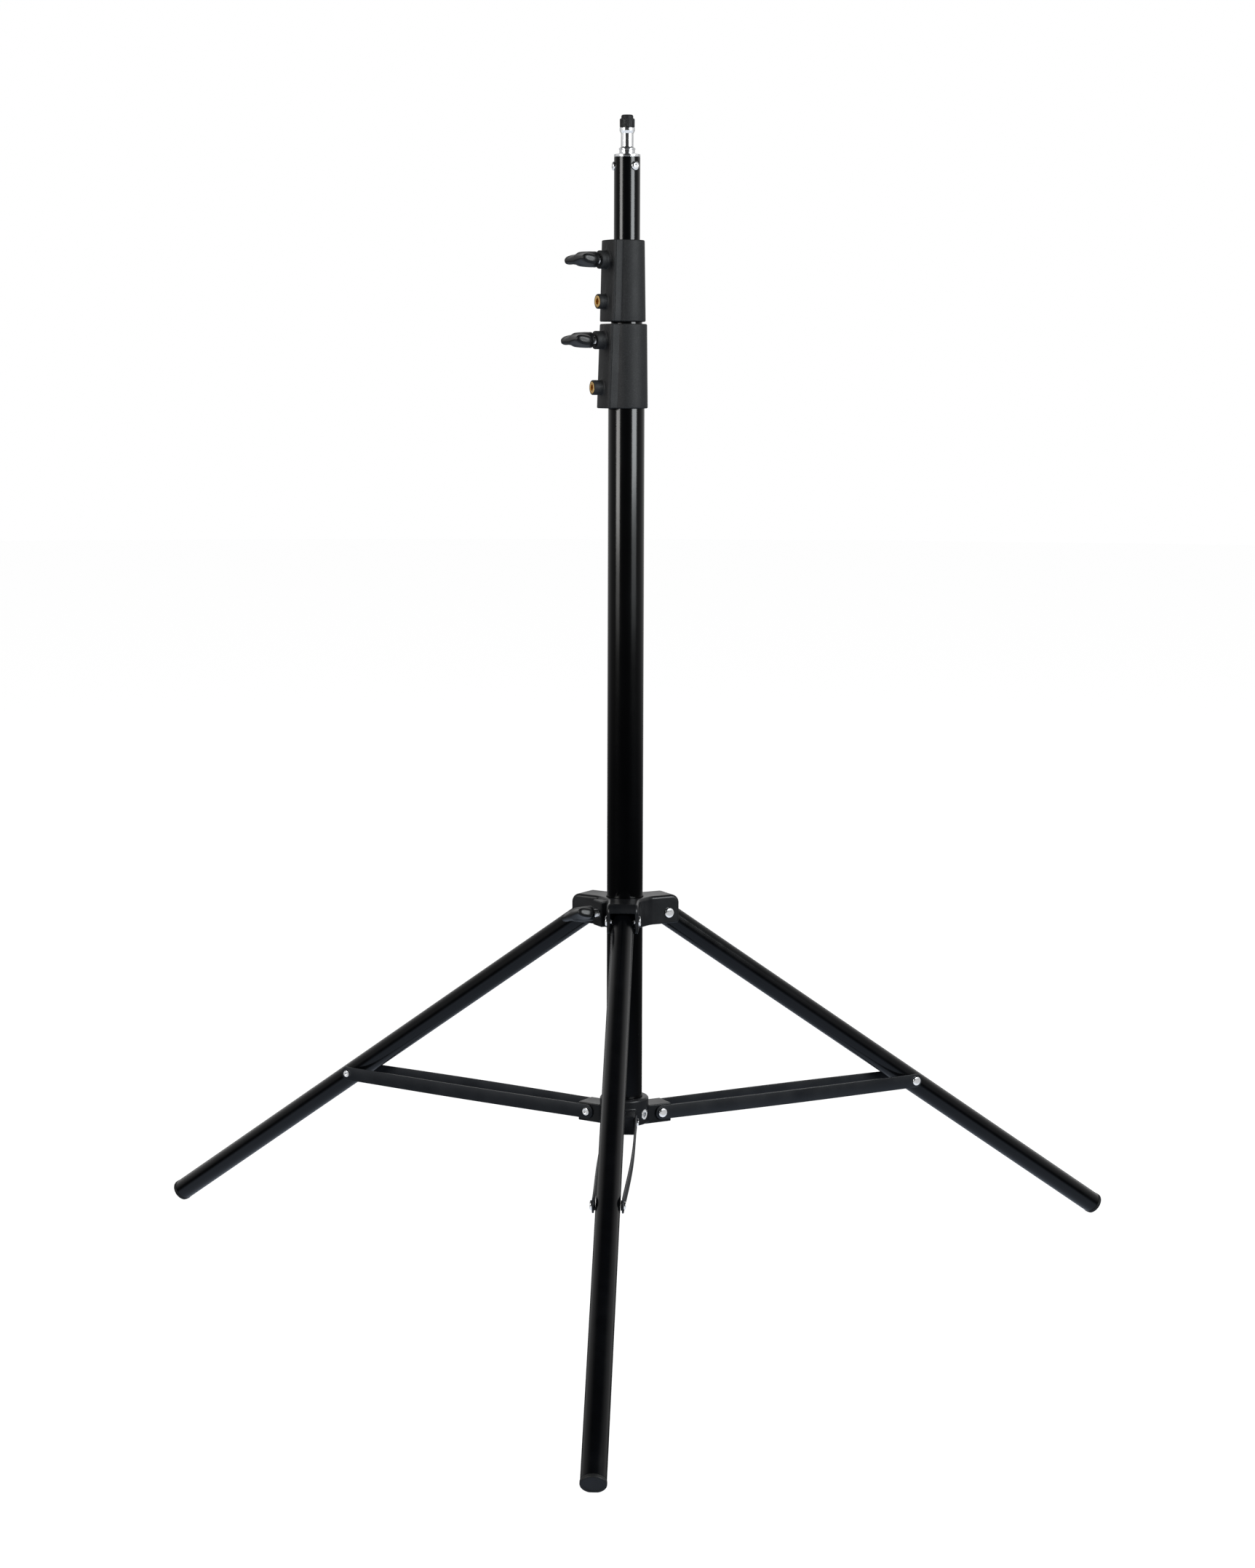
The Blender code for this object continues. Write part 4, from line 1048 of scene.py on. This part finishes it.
def lower_collar():
    low, high = span("lower_collar")
    azimuths = [azimuth_of(arm_frame(side)) for side in SIDES]
    end = reach("lower_collar", arm_frame("front"))[1][0]
    tongue_low, top = low.z, high.z
    tongue_high = tongue_low + 18.5 * MM
    hub_low = tongue_low + 2.3 * MM
    pivot = Vector(JOINTS["brace_front_hinge"]["pos_m"])
    pivot_r = (pivot - AXIS).xy.length
    screw_low, screw_high = span("lower_collar_screw")
    screw = (screw_low + screw_high) / 2
    screw_azimuth = math.atan2(screw.y - AXIS.y, screw.x - AXIS.x)

    def field(x, y, z):
        radial = np.hypot(x, y)
        u, v = fold(x, y, azimuths)
        hub = both(both(radial - COLLAR_HUB_R, z - top, 2.4 * MM), hub_low - z, 1.2 * MM)
        side = both(v - TONGUE_HALF, u - end, 0.9 * MM)
        level = np.abs(z - (tongue_low + tongue_high) / 2) - (tongue_high - tongue_low) / 2
        tongue = both(side, level, 0.7 * MM)
        tongue = np.maximum(tongue, 17.8 * MM - u)
        solid = either(hub, tongue, 1.6 * MM)
        pin = 2.7 * MM - np.hypot(u - pivot_r, z - pivot.z)
        solid = both(solid, pin, 0.3 * MM)
        su = x * math.cos(screw_azimuth) + y * math.sin(screw_azimuth)
        sv = y * math.cos(screw_azimuth) - x * math.sin(screw_azimuth)
        hole = 5.25 * MM - np.hypot(sv, z - screw.z)
        solid = both(solid, np.where(su > 0, hole, -1.0 * MM), 0.3 * MM)
        return both(solid, BASE_R + 0.25 * MM - radial, 0.7 * MM)

    reach_r = end + 2 * MM
    bm = surface(field, (-reach_r, -reach_r, tongue_low - 2 * MM),
                 (reach_r, reach_r, top + 2 * MM), 0.5 * MM)
    piece("fine_lower_collar", bm, UPRIGHT, "base", "lower_collar", 0)
    matrix = upright((screw.x - AXIS.x, screw.y - AXIS.y, 0), AXIS)
    set_screw("lower_collar_screw", matrix, "base", 0.52)
    base = BOLT_SEAT
    for name in SIDES:
        pin = headed_pin(2.5 * MM, base, dome(*BOLT_DOME, base, -1),
                         socket(3.7 * MM, 1.7 * MM, base, 1))
        piece(f"fine_lower_collar_bolt_{name}", pin, brace_frame(name), "base",
              f"lower_collar_bolt_{name}")


# Light, floor and camera ----------------------------------------------------------------
def studio_world():
    """White to look at; what the stand reflects is dim in front and pale behind it."""
    world = bpy.data.worlds.new("studio")
    bpy.context.scene.world = world
    world.use_nodes = True
    tree = world.node_tree
    place = tree.nodes.new("ShaderNodeTexCoord")
    shift = tree.nodes.new("ShaderNodeVectorMath")
    shift.operation = "MULTIPLY_ADD"
    shift.inputs[1].default_value = (0.5, 0.5, 0.5)
    shift.inputs[2].default_value = (0.5, 0.5, 0.5)
    tree.links.new(place.outputs["Generated"], shift.inputs[0])
    split = tree.nodes.new("ShaderNodeSeparateXYZ")
    tree.links.new(shift.outputs["Vector"], split.inputs["Vector"])
    depth = color_ramp(tree, split.outputs["Y"], ((0.02, 0.03), (0.36, 0.13), (0.56, 0.20),
                                                 (0.81, 0.45), (1.0, 0.75)))
    height = color_ramp(tree, split.outputs["Z"], ((0.42, 0.12), (0.50, 1.0), (0.78, 0.9),
                                                  (0.93, 0.10)))
    ground = color_ramp(tree, split.outputs["Z"], ((0.24, 0.34), (0.33, 0.0)))
    room = blend(tree, "MULTIPLY", 1.0, depth, height)
    ground = blend(tree, "MULTIPLY", 1.0, ground, (0.80, 0.92, 1.12))
    room = blend(tree, "ADD", 1.0, room, ground)
    path = tree.nodes.new("ShaderNodeLightPath")
    seen = blend(tree, "MIX", path.outputs["Is Camera Ray"], room, (1.0, 1.0, 1.0))
    tree.links.new(seen, tree.nodes["Background"].inputs["Color"])


def pale_floor():
    """Large disc that clips to white and keeps only the faintest contact shadow."""
    bm = bmesh.new()
    bmesh.ops.create_circle(bm, cap_ends=True, radius=14.0, segments=96)
    floor = put("floor", mesh_of("floor", bm))
    floor.location.z = -0.1 * MM
    floor.visible_glossy = False
    floor.visible_diffuse = False
    material = bpy.data.materials.new("pale_floor")
    material.use_nodes = True
    shader = material.node_tree.nodes["Principled BSDF"]
    shader.inputs["Base Color"].default_value = (0.5, 0.5, 0.5, 1.0)
    shader.inputs["Roughness"].default_value = 0.9
    shader.inputs["Specular IOR Level"].default_value = 0.0
    shader.inputs["Emission Color"].default_value = (1.0, 1.0, 1.0, 1.0)
    shader.inputs["Emission Strength"].default_value = 0.92
    floor.data.materials.append(material)


def soft_light(name, azimuth, distance, middle, size, radiance, color=(1, 1, 1)):
    """Upright soft box facing the column; azimuth is counted from the camera's side."""
    light = bpy.data.lights.new(name, "AREA")
    light.shape = "RECTANGLE"
    light.size, light.size_y = size
    light.energy = radiance * math.pi * size[0] * size[1]
    light.color = color
    item = put(name, light)
    angle = math.radians(azimuth - 90)
    way = Vector((math.cos(angle), math.sin(angle), 0))
    item.location = AXIS + way * distance + Vector((0, 0, middle))
    item.rotation_euler = (-way).to_track_quat("-Z", "Y").to_euler()
    item.visible_camera = False
    return item


def lights():
    """Two soft boxes light the stand; chrome and brass alone also see pale fills."""
    bpy.context.scene.view_settings.view_transform = "Standard"
    studio_world()
    pale_floor()
    away, warm, cool = 3.2, (1.0, 0.99, 0.97), (0.94, 0.98, 1.0)
    soft_light("strip_left", -51, away, 1.62, (1.35, 1.46), 6.8, warm)
    soft_light("strip_left_foot", -51, away, 0.73, (1.35, 0.32), 1.1, warm)
    soft_light("strip_right", 55, away, 1.78, (1.75, 1.44), 8.6, cool)
    soft_light("strip_right_foot", 55, away, 0.85, (1.75, 0.42), 1.1, cool)
    bright = bpy.data.collections.new("bright_metal")
    for item in bpy.context.scene.objects:
        if item.type == "MESH" and item.data.materials and item.data.materials[0] in (
                MATERIALS["chrome_steel"], MATERIALS["brass_screw"]):
            bright.objects.link(item)
    ground = soft_light("sheet_on_floor", 0, 0.0, 0.02, (8.0, 8.0), 0.62)
    ground.rotation_euler = (math.pi, 0, 0)
    fills = [ground]
    fills.append(soft_light("panel_left", -92, 3.0, 1.5, (2.6, 2.6), 0.55))
    fills.append(soft_light("panel_right", 92, 3.0, 1.5, (2.6, 2.6), 0.55))
    for item in fills:
        item.light_linking.receiver_collection = bright


def camera():
    """From 2.9 m away and 0.9 m up, looking a little down at the front leg's side."""
    distance, height, aside = 2.9061, 0.8952, 0.0022
    down, roll, round_by = math.radians(7.271), math.radians(0.188), math.radians(2.348)
    data = bpy.data.cameras.new("camera")
    data.sensor_width = 36.0
    data.lens = 69.0662
    data.shift_y = -0.014935
    item = put("camera", data)
    eye = Matrix.Translation((aside, -distance, height))
    aim = Matrix.Rotation(math.pi / 2 - down, 4, "X") @ Matrix.Rotation(roll, 4, "Z")
    item.matrix_world = UPRIGHT @ Matrix.Rotation(round_by, 4, "Z") @ eye @ aim
    bpy.context.scene.camera = item


column()
clamp("base", BASE_R, MID_R + SLIDE_FIT, BASE_HIGH + GAP)
clamp("mid", MID_R, TOP_R + SLIDE_FIT, MID_HIGH + GAP)
for knob_name in ("base", "mid", "spider"):
    lock_knob(knob_name)
spigot()
spider()
rivets()
for side_name in SIDES:
    leg(side_name)
    brace(side_name)
lower_collar()
lights()
camera()
